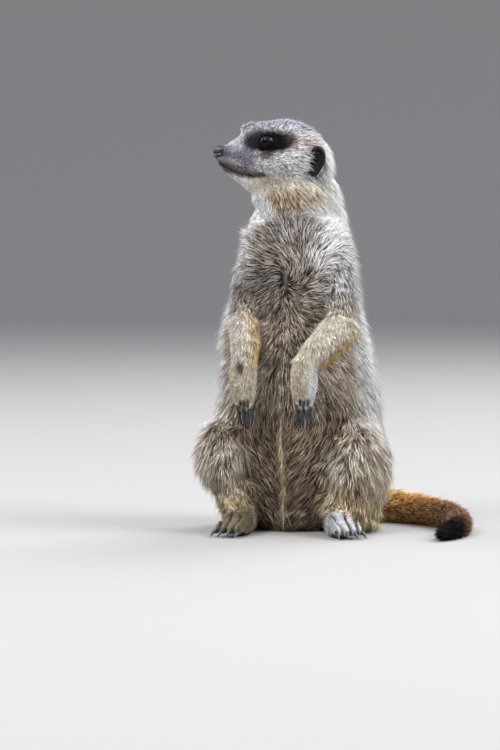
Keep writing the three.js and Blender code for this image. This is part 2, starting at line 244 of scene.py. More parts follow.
# The nose pad, the eyes and the ears' hollows are set in the skin a little off the middles of their nodes.
NOSE_BACK, NOSE_DROP = 1.3, 1.5
EYE_DROP = 1.3
EAR_AHEAD, EAR_DROP = 3.4, 0.9
NOSE = NOSE_NODE - NOSE_DROP * UP - NOSE_BACK * FACING
EYES = {side: place - EYE_DROP * UP for side, place in EYE_NODES.items()}
EARS = {side: middle(f"ear_{side}") + EAR_AHEAD * FACING - EAR_DROP * UP for side in SIDES}


def in_head(points):
    """Places as seen from the head's middle: forward, left and up."""
    return (points - HEAD) @ HEAD_AXES.T


def from_head(forward, left, up):
    return HEAD + forward * FACING + left * LEFTWARD + up * UP


# ---------------------------------------------------------------- camera, floor and light

VIEW = {"azimuth": 10, "elevation": 3, "distance": 2200, "aim": (-51.7, -10.0, 96.1), "height": 465}
SENSOR = 36
FLOOR_RADIUS, BOWL_RADIUS = 3.4, 1.6  # metres
BOWL_TOP = (5.0, 2.2)  # the bowl's upper edge: its radius and its height, in metres
LIGHTS_AIM = (-0.03, 0, 0.14)


def look_along(item, way):
    item.rotation_mode = "QUATERNION"
    item.rotation_quaternion = way.to_track_quat("-Z", "Y")


def add_camera():
    camera = in_scene("camera", bpy.data.cameras.new("camera"))
    azimuth, elevation = math.radians(VIEW["azimuth"]), math.radians(VIEW["elevation"])
    back = Vector((math.sin(azimuth) * math.cos(elevation), -math.cos(azimuth) * math.cos(elevation),
                   math.sin(elevation)))
    camera.location = (Vector(VIEW["aim"]) + back * VIEW["distance"]) * MM
    look_along(camera, -back)
    camera.data.sensor_width = SENSOR
    camera.data.lens = SENSOR * VIEW["distance"] / VIEW["height"]
    camera.data.clip_end = 50
    bpy.context.scene.camera = camera


def add_floor():
    """A flat disc that rises into a bowl: past the flat, radius r + b sin(t) and height b (1 - cos(t))."""
    turns, rise = 96, np.linspace(0, math.pi / 2, 17)
    radius = np.concatenate([[0.02, 0.5, 1.5], FLOOR_RADIUS + BOWL_RADIUS * np.sin(rise), [BOWL_TOP[0]]])
    height = np.concatenate([[0, 0, 0], BOWL_RADIUS * (1 - np.cos(rise)), [BOWL_TOP[1]]])
    turn = np.linspace(0, 2 * math.pi, turns, endpoint=False)
    rings = np.stack([radius[:, None] * np.cos(turn), radius[:, None] * np.sin(turn),
                      np.repeat(height[:, None], turns, 1)], -1) / MM
    points = rings.reshape(-1, 3)
    row, place = np.mgrid[0:len(radius) - 1, 0:turns]
    a, b = row * turns + place, row * turns + (place + 1) % turns
    fan = np.stack([a[0], b[0], 0 * a[0] + len(points)], -1)
    bands = np.stack([a, a + turns, b + turns, a, b + turns, b], -1).reshape(-1, 3)
    mesh = make_mesh("floor", np.concatenate([points, [[0, 0, 0]]]), np.concatenate([bands, fan]))
    floor = in_scene("floor", mesh)
    material = bpy.data.materials.new("pale_paper")
    material.use_nodes = True
    shader = material.node_tree.nodes["Principled BSDF"]
    shader.inputs["Base Color"].default_value = (0.27, 0.266, 0.258, 1)
    shader.inputs["Roughness"].default_value = 0.9
    mesh.materials.append(material)


def add_light(name, place, size, power, colour):
    light = bpy.data.lights.new(name, "AREA")
    light.size, light.energy, light.color = size, power, colour
    lamp = in_scene(name, light)
    lamp.location = place
    look_along(lamp, Vector(LIGHTS_AIM) - Vector(place))


def add_lights():
    add_light("key", (-0.8, -1.3, 1.7), 1.1, 52, (1.0, 0.985, 0.96))
    add_light("side", (1.5, -0.4, 1.3), 1.2, 52, (0.98, 0.985, 1.0))
    add_light("rim", (0.6, 1.5, 1.6), 1.2, 44, (0.97, 0.98, 1.0))
    add_light("fill", (-1.6, 0.3, 1.0), 1.4, 22, (0.97, 0.98, 1.0))
    world = bpy.data.worlds.new("soft_room")
    world.use_nodes = True
    glow = world.node_tree.nodes["Background"]
    glow.inputs["Color"].default_value = (0.86, 0.9, 1.0, 1)
    glow.inputs["Strength"].default_value = 0.9
    bpy.context.scene.world = world
    bpy.context.scene.view_settings.view_transform = "Standard"


# ---------------------------------------------------------------- skin

# How each form of the body is dressed: the coat's depth, the rounds of smoothing that its facets take, the
# length and width of a tuft, how many stand on a square millimetre, and how steeply they rise, in degrees.
DEPTH, ROUNDS, LENGTH, WIDTH, CROWD, LIFT = range(6)
FORMS = {
    "head": (2.5, 30, 4.6, 0.32, 3.6, 20),
    "neck": (4.2, 70, 7.2, 0.36, 2.3, 24),
    "chest": (5.4, 110, 7.4, 0.36, 2.5, 30),
    "abdomen": (5.8, 130, 10.5, 0.4, 2.0, 20),
    "upper_arm": (4.6, 60, 6.8, 0.36, 2.3, 20),
    "forearm": (2.3, 30, 5.2, 0.3, 3.2, 16),
    "hand": (1.4, 8, 3.5, 0.26, 4.6, 13),
    "thigh": (5.6, 120, 11.0, 0.42, 1.9, 19),
    "shank": (3.4, 60, 8.5, 0.4, 2.2, 17),
    "foot": (0.9, 8, 2.4, 0.25, 5.2, 11),
    "tail": (2.6, 100, 6.4, 0.38, 2.4, 19),
}
FORM_NAMES = list(FORMS)
FLESH_NODES = [name for name in NODES if name.startswith(tuple(FORMS)) and "_claw_" not in name]
OVERLAP = 0.3  # how far neighbouring forms are grown into each other
VOXEL = 0.85  # the size of the cells in which the forms are joined
SKIN_TRIANGLES = 190000


def form_of(node):
    return next(i for i, name in enumerate(FORM_NAMES) if node.startswith(name))


def column(weights, index):
    """One column of FORMS at each place, from how much of each form is worn there."""
    return weights @ np.array([row[index] for row in FORMS.values()], float)


def by_form(weights):
    """How much of each form is worn at each place, by the form's name."""
    return dict(zip(FORM_NAMES, weights.T))


def share_of(weights, *forms):
    """How much of the named forms together is worn at each place."""
    return weights[:, [FORM_NAMES.index(form) for form in forms]].sum(1)


def on_limb(points, weights, form, sign):
    """How much of a limb's form is worn, on one side of the body alone."""
    return share_of(weights, form) * ((points[:, 0] - CHEST[0]) * sign > 0)


def merged_copy(node):
    """A node's triangles with their shared corners merged."""
    mesh = NODES[node].data
    loose = read_points(mesh)
    _, first, share = np.unique(np.round(loose * 1000).astype(np.int64), axis=0, return_index=True,
                                return_inverse=True)
    return loose[first], share.ravel()[read_triangles(mesh)]


def corner_normals(points, faces):
    """The normal at each point: the sum of the cross products of the faces round it."""
    a, b, c = (points[faces[:, i]] for i in range(3))
    cross = np.cross(b - a, c - a)
    total = np.zeros_like(points)
    for i in range(3):
        for axis in range(3):
            total[:, axis] += np.bincount(faces[:, i], cross[:, axis], len(points))
    return unit(total)


def ball(centre, radius, around=32, rows=20):
    """A sphere: centre + radius (sin(t) cos(turn), sin(t) sin(turn), cos(t))."""
    t = np.linspace(0.02, math.pi - 0.02, rows)[:, None]
    turn = np.linspace(0, 2 * math.pi, around, endpoint=False)
    rings = np.stack([np.sin(t) * np.cos(turn), np.sin(t) * np.sin(turn), np.cos(t) + 0 * turn], -1)
    return loft(centre + radius * rings)


def averager(mesh):
    """A function that gives each vertex the mean of its neighbours' values."""
    edges = read_edges(mesh)
    ends = np.concatenate([edges, edges[:, ::-1]])
    ends = ends[np.argsort(ends[:, 0], kind="stable")]
    starts = np.searchsorted(ends[:, 0], np.arange(len(mesh.vertices)))
    counts = np.bincount(ends[:, 0], minlength=len(mesh.vertices))[:, None]
    return lambda values: np.add.reduceat(values[ends[:, 1]], starts, axis=0) / counts


def largest_body(mesh):
    """Deletes all but the largest connected body: each vertex takes the lowest number in its body, by
    passing the lower number along every edge until nothing changes."""
    a, b = read_edges(mesh).T
    label = np.arange(len(mesh.vertices))
    while True:
        low = np.minimum(label[a], label[b])
        new = label.copy()
        np.minimum.at(new, label[a], low)
        np.minimum.at(new, label[b], low)
        new = new[new]
        if (new == label).all():
            break
        label = new
    keep = label == np.bincount(label).argmax()
    if keep.all():
        return
    form = bmesh.new()
    form.from_mesh(mesh)
    form.verts.ensure_lookup_table()
    bmesh.ops.delete(form, geom=[form.verts[i] for i in np.flatnonzero(~keep)], context="VERTS")
    form.to_mesh(mesh)
    form.free()


def smooth_out(points, average, rounds):
    """Smooths facets without shrinking the form: each round moves a point 0.5 of the way to its
    neighbours' mean and then 0.53 of the way out again. rounds says how many each point takes."""
    for step in range(int(rounds.max())):
        share = np.clip(rounds - step, 0, 1)[:, None]
        for pull in (0.5, -0.53):
            points = points + share * pull * (average(points) - points)
    return points


def join_forms():
    """The forms of flesh and the eyeballs, grown a little into each other, in one mesh with a `form` number
    on every vertex."""
    parts, numbers = [], []
    for node in FLESH_NODES:
        points, faces = merged_copy(node)
        parts.append((points + OVERLAP * corner_normals(points, faces), faces))
        numbers.append(np.full(len(points), form_of(node)))
    for side in SIDES:
        parts.append(ball(EYES[side], EYE_RADIUS + OVERLAP))
        numbers.append(np.full(len(parts[-1][0]), FORM_NAMES.index("head")))
    mesh = make_mesh("skin", *joined(parts))
    mesh.attributes.new("form", "INT", "POINT").data.foreach_set("value", np.concatenate(numbers))
    return mesh


def remesh(mesh):
    """One closed surface round the forms, its largest body alone."""
    holder = in_scene("skin_forms", mesh)
    bpy.context.view_layer.objects.active = holder
    mesh.remesh_voxel_size = VOXEL * MM
    mesh.use_remesh_preserve_attributes = True
    bpy.ops.object.voxel_remesh()
    largest_body(holder.data)
    return holder


def form_weights(mesh, average, rounds=26):
    """How much of each form is worn at each vertex: 1 on its own form, eased across the joins."""
    form = read_rows(mesh.attributes["form"].data, "value", 1, np.int32)[:, 0]
    weights = np.eye(len(FORMS), dtype=np.float32)[form]
    for _ in range(rounds):
        weights = 0.5 * weights + 0.5 * average(weights)
    return weights


# Places along the head, from the back of the skull to the nose, and the shares of the head's own coat depth
# and tuft length that are worn there.
HEAD_PLACES = (-26, -12, 4, 16, 28, 38, 48)
HEAD_DEPTHS = (1.7, 1.25, 1.05, 0.8, 0.42, 0.28, 0.2)
HEAD_LENGTHS = (1.8, 1.2, 0.95, 0.68, 0.46, 0.38, 0.34)


def head_share(points, weights, shares):
    """The share of a form's coat that is worn: read along the head by `shares`, and 1 off the head."""
    head = share_of(weights, "head")
    return 1 - head + head * np.interp(in_head(points)[:, 0], HEAD_PLACES, shares)


def distance_to(places, path):
    """The distance of flat places to a path, and how far above the path they lie."""
    path = np.asarray(path, float)
    start, step = path[:-1], np.diff(path, axis=0)
    along = ((places[:, None] - start) * step).sum(-1) / (step**2).sum(-1)
    nearest = start + np.clip(along, 0, 1)[..., None] * step
    gap = places[:, None] - nearest
    away = np.linalg.norm(gap, axis=-1)
    best = away.argmin(1)
    rows = np.arange(len(places))
    return away[rows, best], gap[rows, best, 1]


# The line of the shut mouth, forward and up in the head, from under the nose to the corner of the lips.
LIPS = [(52.5, -0.4), (46.5, -1.4), (40.5, -4.6), (33.8, -7.6), (26.3, -9.2), (18.8, -9.6)]
MOUTH = curve_through(LIPS, 24)

# Each eye looks out to the side and a little forward. Its opening is longer along the face than high, and
# slants down towards the nose.
EYE_LOOK = (0.34, 0.93, 0.14)
EYE_SLANT = math.radians(17)
LID_LONG, LID_HIGH, LID_THICK = 4.8, 3.9, 0.75


def eye_axes(side):
    """The eye's own directions: out along its look, along the opening towards the nose, and up across it."""
    forward, left, up = EYE_LOOK
    look = unit(forward * FACING + SIDES[side] * left * LEFTWARD + up * UP)
    level = unit(FACING - (FACING @ look) * look)
    rise = unit(UP - (UP @ look) * look - (UP @ level) * level)
    ahead = math.cos(EYE_SLANT) * level - math.sin(EYE_SLANT) * rise
    return look, ahead, unit(np.cross(look, ahead) * np.sign(np.cross(look, ahead) @ UP))


def lid_reach(turn):
    """How far the opening's edge is from the eye's axis at each turn round it: an oval with its front and
    back corners drawn out a little to points."""
    along, high = np.cos(turn), np.sin(turn)
    reach = 1 / np.sqrt((along / LID_LONG) ** 2 + (high / LID_HIGH) ** 2)
    return reach * (1 + 0.1 * np.abs(along) ** 8)


def seen_from_eye(points, side):
    """Places as seen from an eye: out along its look, and how far off that axis they lie, in millimetres
    and as a share of the opening's reach at their turn round it."""
    look, ahead, rise = eye_axes(side)
    from_eye = points - EYES[side]
    along, high = from_eye @ ahead, from_eye @ rise
    aside = np.hypot(along, high)
    return from_eye @ look, aside, aside / lid_reach(np.arctan2(high, along))


def shape_eyes(points):
    """Wraps the skin over each eyeball. Outside the opening it lies a lid's thickness above the ball and
    sinks back to the face over the next few millimetres; inside, it goes behind the ball's surface."""
    for side in SIDES:
        out, aside, ring = seen_from_eye(points, side)
        from_eye = points - EYES[side]
        away = np.linalg.norm(from_eye, axis=1)
        lid = EYE_RADIUS + LID_THICK * fade(ring, 1.0, 0.86) - 2.2 * fade(ring, 0.88, 0.98)
        near = (out > 0) * fade(aside, 5.4, 9.4)
        target = EYES[side] + from_eye * (lid / np.maximum(away, 0.1))[:, None]
        points = blend(points, target, near * (away < EYE_RADIUS * 2.2))
    return points


def shape_face(points, normals):
    """The mouth's crease with the upper lip's roll above it, the whisker pads, the brow with the stop under
    it, the lips' front, the throat, and a crown that is a little flat. A swell is a bell of the distance,
    seen from the side, to its place in the head."""
    forward, left, up = in_head(points).T

    def swell(place, reach):
        return bell(np.hypot(forward - place[0], up - place[1]), reach)

    away, above = distance_to(np.stack([forward, up], 1), MOUTH)
    crease = -1.1 * bell(away, 0.75) + 0.45 * bell(above - 2.2, 1.5) * bell(away, 3.5)
    pad = 0.7 * swell((38, -0.5), 5)
    stop = -0.5 * swell((26, 17), 4) * bell(left, 7)
    shaped = points + normals * ((crease + pad + stop) * fade(forward, 14, 10))[:, None]
    near_middle = fade(np.abs(left), 7, 15)
    under_jaw = swell((24, -19), 8) * near_middle
    shaped += under_jaw[:, None] * (1.4 * FACING - 1.7 * UP)
    throat = 2.6 * swell((20, -21), 5.5) + 1.3 * swell((26, -37), 5)
    brow = 1.3 * swell((28.5, 19.5), 2.6) - 1.0 * swell((31, 15.8), 2.2)
    lip = 0.9 * swell((46, -1.2), 1.8) - 1.0 * swell((45, -4.4), 2.6)
    shaped += ((throat + brow) * near_middle + lip)[:, None] * FACING
    crown = 0.4 * bell(forward - 18.5, 8) * fade(up, 17, 12) * bell(left, 14)
    return shape_muzzle(shaped - crown[:, None] * UP)


# The line of the nose's bridge, and how far the muzzle may stand out round the nose pad's own axis, each as
# places along the head and millimetres there.
BRIDGE = [(30.8, 17.5), (31.8, 15.4), (33, 13.9), (36.5, 11.7), (40.7, 8.9), (47, 7.6)]
MUZZLE = [(32, 10.5), (36.5, 7.6), (39.5, 5.4), (42, 4.4), (45, 3.2), (49, 1.0)]


def shape_muzzle(points):
    """Presses the muzzle down to the bridge's line, and narrows it so that its tip lies inside the pad."""
    forward, left, up = in_head(points).T
    over = np.maximum(up - np.interp(forward, *zip(*BRIDGE)) + 0.04 * left**2, 0) * fade(forward, 31.6, 30.6)
    points = points - (0.92 * over)[:, None] * UP
    forward, left, up = in_head(points).T
    rise = up - in_head(NOSE)[2]
    away = np.maximum(np.hypot(left, rise), 0.1)
    most = np.interp(forward, *zip(*MUZZLE))
    share = 0.92 * np.maximum(away - most, 0) / away * fade(forward, 33, 30) * fade(up, 0.3, -1.6)
    return points - share[:, None] * (left[:, None] * LEFTWARD + rise[:, None] * UP)


def shape_body(points, weights):
    """Draws in the right side of the body, from the thigh to the neck, and the left upper arm."""
    on = by_form(weights)
    x, z = points[:, 0], points[:, 2]
    moved = (on["thigh"] + on["shank"]) * fade(x, -66, -50) * (2.0 + 7.0 * fade(z, 12, 44))
    moved += (on["upper_arm"] + on["forearm"]) * fade(x, -60, -46) * 4.6 * bell(z - 124, 22)
    moved += (on["upper_arm"] + on["chest"] + on["neck"]) * fade(x, -60, -46) * 4.8 * bell(z - 164, 30)
    moved += on["abdomen"] * fade(x, -52, -40) * 2.4 * bell(z - 92, 24)
    moved -= on["upper_arm"] * fade(x, 12, 2) * 2.6 * bell(z - 136, 24)
    return points + moved[:, None] * np.array([1.0, 0, 0])


def fill_creases(points, mesh, average, share, rounds=160):
    """Fills the hollows where forms meet. Each round moves a point along its normal as far out as the mean
    of its neighbours lies, and never in."""
    for step in range(rounds):
        if step % 5 == 0:
            write_points(mesh, points)
            normals = read_normals(mesh)
        out = ((average(points) - points) * normals).sum(1)
        points = points + (share * np.maximum(out, 0))[:, None] * normals
    return points


def crease_share(points, weights):
    """Where creases fill: over the trunk, the tops of the arms and thighs, and the neck."""
    on, z = by_form(weights), points[:, 2]
    share = on["chest"] + on["abdomen"] * fade(z, 12, 5) + 0.6 * on["neck"]
    share += on["upper_arm"] * fade(z, 134, 118) + (on["thigh"] + on["shank"]) * fade(z, 22, 10)
    share += on["head"] * fade(in_head(points)[:, 0], -14, -4) + 0.35 * on["foot"]
    return np.clip(share, 0, 1) * (1 - np.clip(5 * (on["hand"] + on["forearm"] + on["tail"]), 0, 1))


def claw_stations(node):
    """A claw's root, its middle and its tip, by how far its points lie from the middle of its paw."""
    limb, _, side, _ = node.split("_")
    points = merged_copy(node)[0]
    order = np.linalg.norm(points - centroid(f"{limb}_{side}"), axis=1).argsort()
    part = max(3, len(points) // 5)
    return points[order[:part]].mean(0), points[order[part:-part]].mean(0), points[order[-1]]


def claw_roots(limb, side):
    """The roots of a paw's four claws, in their order across it."""
    return np.array([claw_stations(f"{limb}_claw_{side}_{i}")[0] for i in (1, 2, 3, 4)])


# How a paw's toes part: how far back, how deeply, how wide a groove is, how far the grooves spread apart
# as they run back, how fast the paw narrows towards its toes, and how far it may pass the outer claws.
TOES = {"hand": (11.0, 2.1, 0.8, 0, 0.26, 3.5), "foot": (21.0, 2.2, 0.9, 0.5, 0.12, 1.0)}


def on_paw(points, limb, side):
    """Places as seen from the roots of a paw's claws, along it and across it; then where the claws lie
    across it, and its two directions."""
    roots, way = claw_roots(limb, side), limb_way(limb, side)
    across = roots[3] - roots[0]
    across = unit(across - (across @ way) * way)
    seen, toes = points - roots.mean(0), (roots - roots.mean(0)) @ across
    return seen @ way, seen @ across, toes, way, across


def toe_gaps(points, weights):
    """1 in the grooves between the toes: exp(-(b / w)^2) at b across the paw from each."""
    share = np.zeros(len(points))
    for limb, (long, _, wide, spread, *_) in TOES.items():
        for side, sign in SIDES.items():
            along, b, toes, *_ = on_paw(points, limb, side)
            lines = (toes[1:] + toes[:-1]) / 2 * (1 - spread * np.clip(along, -long, 0) / long)[:, None]
            grooves = bell(b[:, None] - lines, wide).sum(1) * fade(along, 4 - long, -long)
            share += on_limb(points, weights, limb, sign) * grooves
    return share


def shape_paws(points, normals, weights):
    """Parts the toes with grooves, narrows the paw towards them and, on a foot, on its inner side, and
    brings the flesh of the toes to the roots of the claws: back over a hand's, furthest at its two edges,
    and forward to each of a foot's."""
    groove = toe_gaps(points, weights)
    for limb, (_, deep, _, _, narrowing, margin) in TOES.items():
        for side, sign in SIDES.items():
            mine = on_limb(points, weights, limb, sign)
            along, b, toes, way, across = on_paw(points, limb, side)
            wide = np.ptp(toes) / 2 + margin
            if limb == "hand":
                drawn = 0.4 * np.maximum(along + 4, 0) + 0.035 * b**2 * fade(along, -2, -10)
            else:
                drawn = -(2.0 + 0.008 * b**2) * bell(b[:, None] - toes, 2.4).sum(1) * fade(along, -1, -9)
                inner = b * across[0] * sign < 0
                wide = wide - 0.09 * inner * np.clip(-along - 5, 0, 24)
            taper = b * narrowing * fade(along, 0, -18)
            taper += 0.8 * np.sign(b) * np.maximum(np.abs(b) - wide, 0) * fade(along, -32, -52)
            points = points - mine[:, None] * (deep * groove[:, None] * normals + drawn[:, None] * way
                                               + taper[:, None] * across)
    return points


def coat_depth(points, normals, weights, average):
    """How deep the coat is at each vertex: less underneath, where it is pressed, and evened on the head."""
    depth = column(weights, DEPTH) * head_share(points, weights, HEAD_DEPTHS)
    depth *= 1 - 0.85 * fade(normals[:, 2], -0.8, -0.3) * fade(points[:, 2], 8, 16)
    evened = 0.8 * fade(share_of(weights, "head"), 0.1, 0.6)
    for _ in range(40):
        depth += evened * (average(depth[:, None])[:, 0] - depth)
    return depth


def press_down(points, normals, weights):
    """Presses the underside of the rump and haunches nearly flat, just over the floor."""
    trunk = share_of(weights, "abdomen", "thigh", "shank")
    under = fade(points[:, 2], 2.5, 7) * fade(normals[:, 2], -0.5, 0) * fade(trunk, 0.8, 0.3)
    points[:, 2] = np.maximum(points[:, 2] * (1 - 0.95 * under), 0.05)
    return points


def build_skin():
    """The one skin: the forms joined and smoothed, drawn in by the coat's depth, with its face and paws
    shaped. Returns its mesh, and how much of each form is worn at each vertex."""
    holder = remesh(join_forms())
    mesh = holder.data
    average = averager(mesh)
    weights = form_weights(mesh, average)
    points = smooth_out(read_points(mesh), average, column(weights, ROUNDS))
    points = shape_body(points, weights)
    points = fill_creases(points, mesh, average, crease_share(points, weights))
    write_points(mesh, points)
    normals = read_normals(mesh)
    points -= normals * coat_depth(points, normals, weights, average)[:, None]
    points = smooth_out(points, average, np.full(len(points), 3.0))
    write_points(mesh, points)
    points = shape_eyes(shape_face(points, read_normals(mesh)))
    write_points(mesh, points)
    points = shape_paws(points, read_normals(mesh), weights)
    write_points(mesh, press_down(points, read_normals(mesh), weights))
    return thin_out(holder, weights)


def thin_out(holder, weights):
    """Collapses edges on the broad forms until the skin has few enough triangles."""
    mesh = holder.data
    mesh.attributes.remove(mesh.attributes["form"])
    for name, worn in zip(FORM_NAMES, weights.T):
        mesh.attributes.new(name, "FLOAT", "POINT").data.foreach_set("value", np.ascontiguousarray(worn))
    fine = share_of(weights, "head", "hand", "foot") > 0.3
    group = holder.vertex_groups.new(name="broad")
    group.add(np.flatnonzero(~fine).tolist(), 1.0, "REPLACE")
    group.add(np.flatnonzero(fine).tolist(), 0.02, "REPLACE")
    collapse = holder.modifiers.new("collapse", "DECIMATE")
    collapse.ratio = SKIN_TRIANGLES / len(read_triangles(mesh))
    collapse.vertex_group = "broad"
    collapse.use_collapse_triangulate = True
    thinned = bpy.data.meshes.new_from_object(holder.evaluated_get(bpy.context.evaluated_depsgraph_get()))
    bpy.data.objects.remove(holder)
    worn = np.stack([read_rows(thinned.attributes[name].data, "value", 1)[:, 0] for name in FORM_NAMES])
    for name in FORM_NAMES:
        thinned.attributes.remove(thinned.attributes[name])
    thinned.shade_smooth()
    return thinned, (worn / worn.sum(0)).T.astype(float)


def unwrap(mesh):
    """Lays the skin's own shape flat in patches, in the map OFBake, and returns each triangle's places."""
    holder = in_scene("skin_unwrap", mesh)
    mesh.uv_layers.new(name="OFBake")
    bpy.context.view_layer.objects.active = holder
    holder.select_set(True)
    bpy.ops.object.mode_set(mode="EDIT")
    bpy.ops.mesh.select_all(action="SELECT")
    bpy.ops.uv.smart_project(angle_limit=math.radians(66), island_margin=0.002)
    bpy.ops.object.mode_set(mode="OBJECT")
    bpy.data.objects.remove(holder)
    flat = read_rows(mesh.uv_layers["OFBake"].data, "uv", 2)
    return flat[read_triangles(mesh, "loops")].astype(float)


# ---------------------------------------------------------------- the lie of the coat

CHEST, ABDOMEN = middle("chest"), middle("abdomen")
WHORL = CHEST + [5, -36, 0]  # where the chest's hair turns: above it lies upwards, below it downwards
RIDGE = ABDOMEN[0] - 3  # the belly's middle line, where the hair of its two sides meets


def centroid(node):
    return merged_copy(node)[0].mean(0)


def flattened(way, normal):
    """Directions made square to the normals, of length 1."""
    return unit(way - (way * normal).sum(1, keepdims=True) * normal)


def tail_line():
    """The tail's middle line, from under the rump to its tip."""
    spots = [centroid(f"tail_{i}") for i in (1, 2, 3, 4)]
    last = merged_copy("tail_4")[0]
    tip = last[np.linalg.norm(last - spots[2], axis=1).argmax()]
    first = merged_copy("tail_1")[0]
    start = first[np.linalg.norm(first - spots[1], axis=1).argmax()]
    return curve_through([[*start[:2], spots[0][2]], *spots, tip], 40)


TAIL = tail_line()
LIMB_ENDS = {"upper_arm": "forearm", "forearm": "hand", "hand": "hand_claw", "shank": "foot",
             "foot": "foot_claw"}


def limb_way(form, side):
    """From the middle of a limb's form towards the form at its far end."""
    ending = LIMB_ENDS[form]
    if ending.endswith("claw"):
        far = np.mean([centroid(f"{ending}_{side}_{i}") for i in (1, 2, 3, 4)], 0)
    else:
        far = centroid(f"{ending}_{side}")
    return unit(far - centroid(f"{form}_{side}"))


def nearest_along(points, line):
    """For each place the share of the way along a line of the nearest of its points."""
    best = np.empty(len(points), int)
    for start in range(0, len(points), 50000):
        gap = points[start:start + 50000, None] - line
        best[start:start + 50000] = (gap**2).sum(-1).argmin(1)
    return best / (len(line) - 1)


def trunk_turn(points):
    """The angle round the trunk, from 0 at the front to pi at the back, positive on the left side."""
    height = np.clip((points[:, 2] - ABDOMEN[2]) / (CHEST[2] - ABDOMEN[2]), -1, 2)[:, None]
    axis = ABDOMEN + (CHEST - ABDOMEN) * height
    return np.arctan2(points[:, 0] - axis[:, 0], axis[:, 1] - points[:, 1])


def trunk_way(points):
    """Hair lies down the trunk. On the chest it turns and spreads from the whorl, over the shoulders and up
    to the throat; on the upper belly it leans outwards, and low on the belly inwards to the ridge."""
    x, height = points[:, 0] - RIDGE, points[:, 2]
    front = fade(np.abs(trunk_turn(points)), 0.9, 1.9)
    away = np.linalg.norm(points - WHORL, axis=1)
    spread = unit(points - WHORL + [0, 6, 0])
    swirl = np.cross(spread, [0, 1, 0]) * bell(away, 20)[:, None]
    tousled = np.stack([waves(points, 11, 61), 0 * away, waves(points, 11, 62)], 1) * bell(away, 28)[:, None]
    spread = unit(spread + 1.3 * swirl + tousled)
    way = blend(np.tile(DOWN, (len(points), 1)), spread * 1.2, fade(away, 26, 62) * front)
    way += 0.3 * np.stack([waves(points, 13, 63), 0 * x, waves(points, 13, 64)], 1)
    lean = 0.75 * bell(height - 108, 26) - 1.5 * fade(height, 62, 84) * bell(x, 34)
    way[:, 0] += front * lean * np.tanh(x / 7)
    return way


def head_way(points):
    """Hair lies back from the nose, parts round the eyes, and turns down behind the skull."""
    forward, _, up = in_head(points).T
    way = unit(points - from_head(52, 0, -3))
    way = blend(way, unit(-FACING * 0.5 + DOWN), fade(forward, -22, 0))
    way += 0.5 * DOWN * (bell(up + 12, 12) * fade(forward, 8, 30))[:, None]
    way += 1.3 * bell(np.hypot(forward - 29.5, up - 19), 2.6)[:, None] * (0.3 * FACING + UP)
    for side in SIDES:
        away = points - EYES[side]
        way += 0.9 * unit(away) * bell(np.linalg.norm(away, axis=1), 8)[:, None]
    return way


def comb(points, normals, weights, average):
    """Which way the coat lies at each vertex of the skin: each form's own way, mixed by how much of the
    form is worn, made square to the skin and eased along it."""
    on = {form: worn[:, None] for form, worn in by_form(weights).items()}
    down_trunk = trunk_way(points)
    way = on["head"] * head_way(points) + (on["chest"] + on["abdomen"]) * down_trunk
    back_and_down = unit(-0.75 * FACING + DOWN)
    way += on["neck"] * blend(down_trunk, back_and_down, fade(in_head(points)[:, 2], -26, -42))
    way += on["thigh"] * (DOWN + [0, -0.28, 0])
    for form in LIMB_ENDS:
        for side, sign in SIDES.items():
            lean = 1.6 * DOWN if form == "shank" else np.array([0.4 * sign * (form != "foot"), 0, 0])
            way += on_limb(points, weights, form, sign)[:, None] * (limb_way(form, side) + lean)
    step = unit(np.gradient(TAIL, axis=0))
    way += on["tail"] * step[np.rint(nearest_along(points, TAIL) * (len(TAIL) - 1)).astype(int)]
    for _ in range(14):
        way -= (way * normals).sum(1, keepdims=True) * normals
        way = unit(way)
        way = 0.4 * way + 0.6 * average(way)
    return flattened(way, normals)


# ---------------------------------------------------------------- markings


def tone(light, dark, share):
    """What a place wears: its light hairs, its dark hairs, and the share of dark ones."""
    return np.concatenate([linear(*light), linear(*dark), [share]])


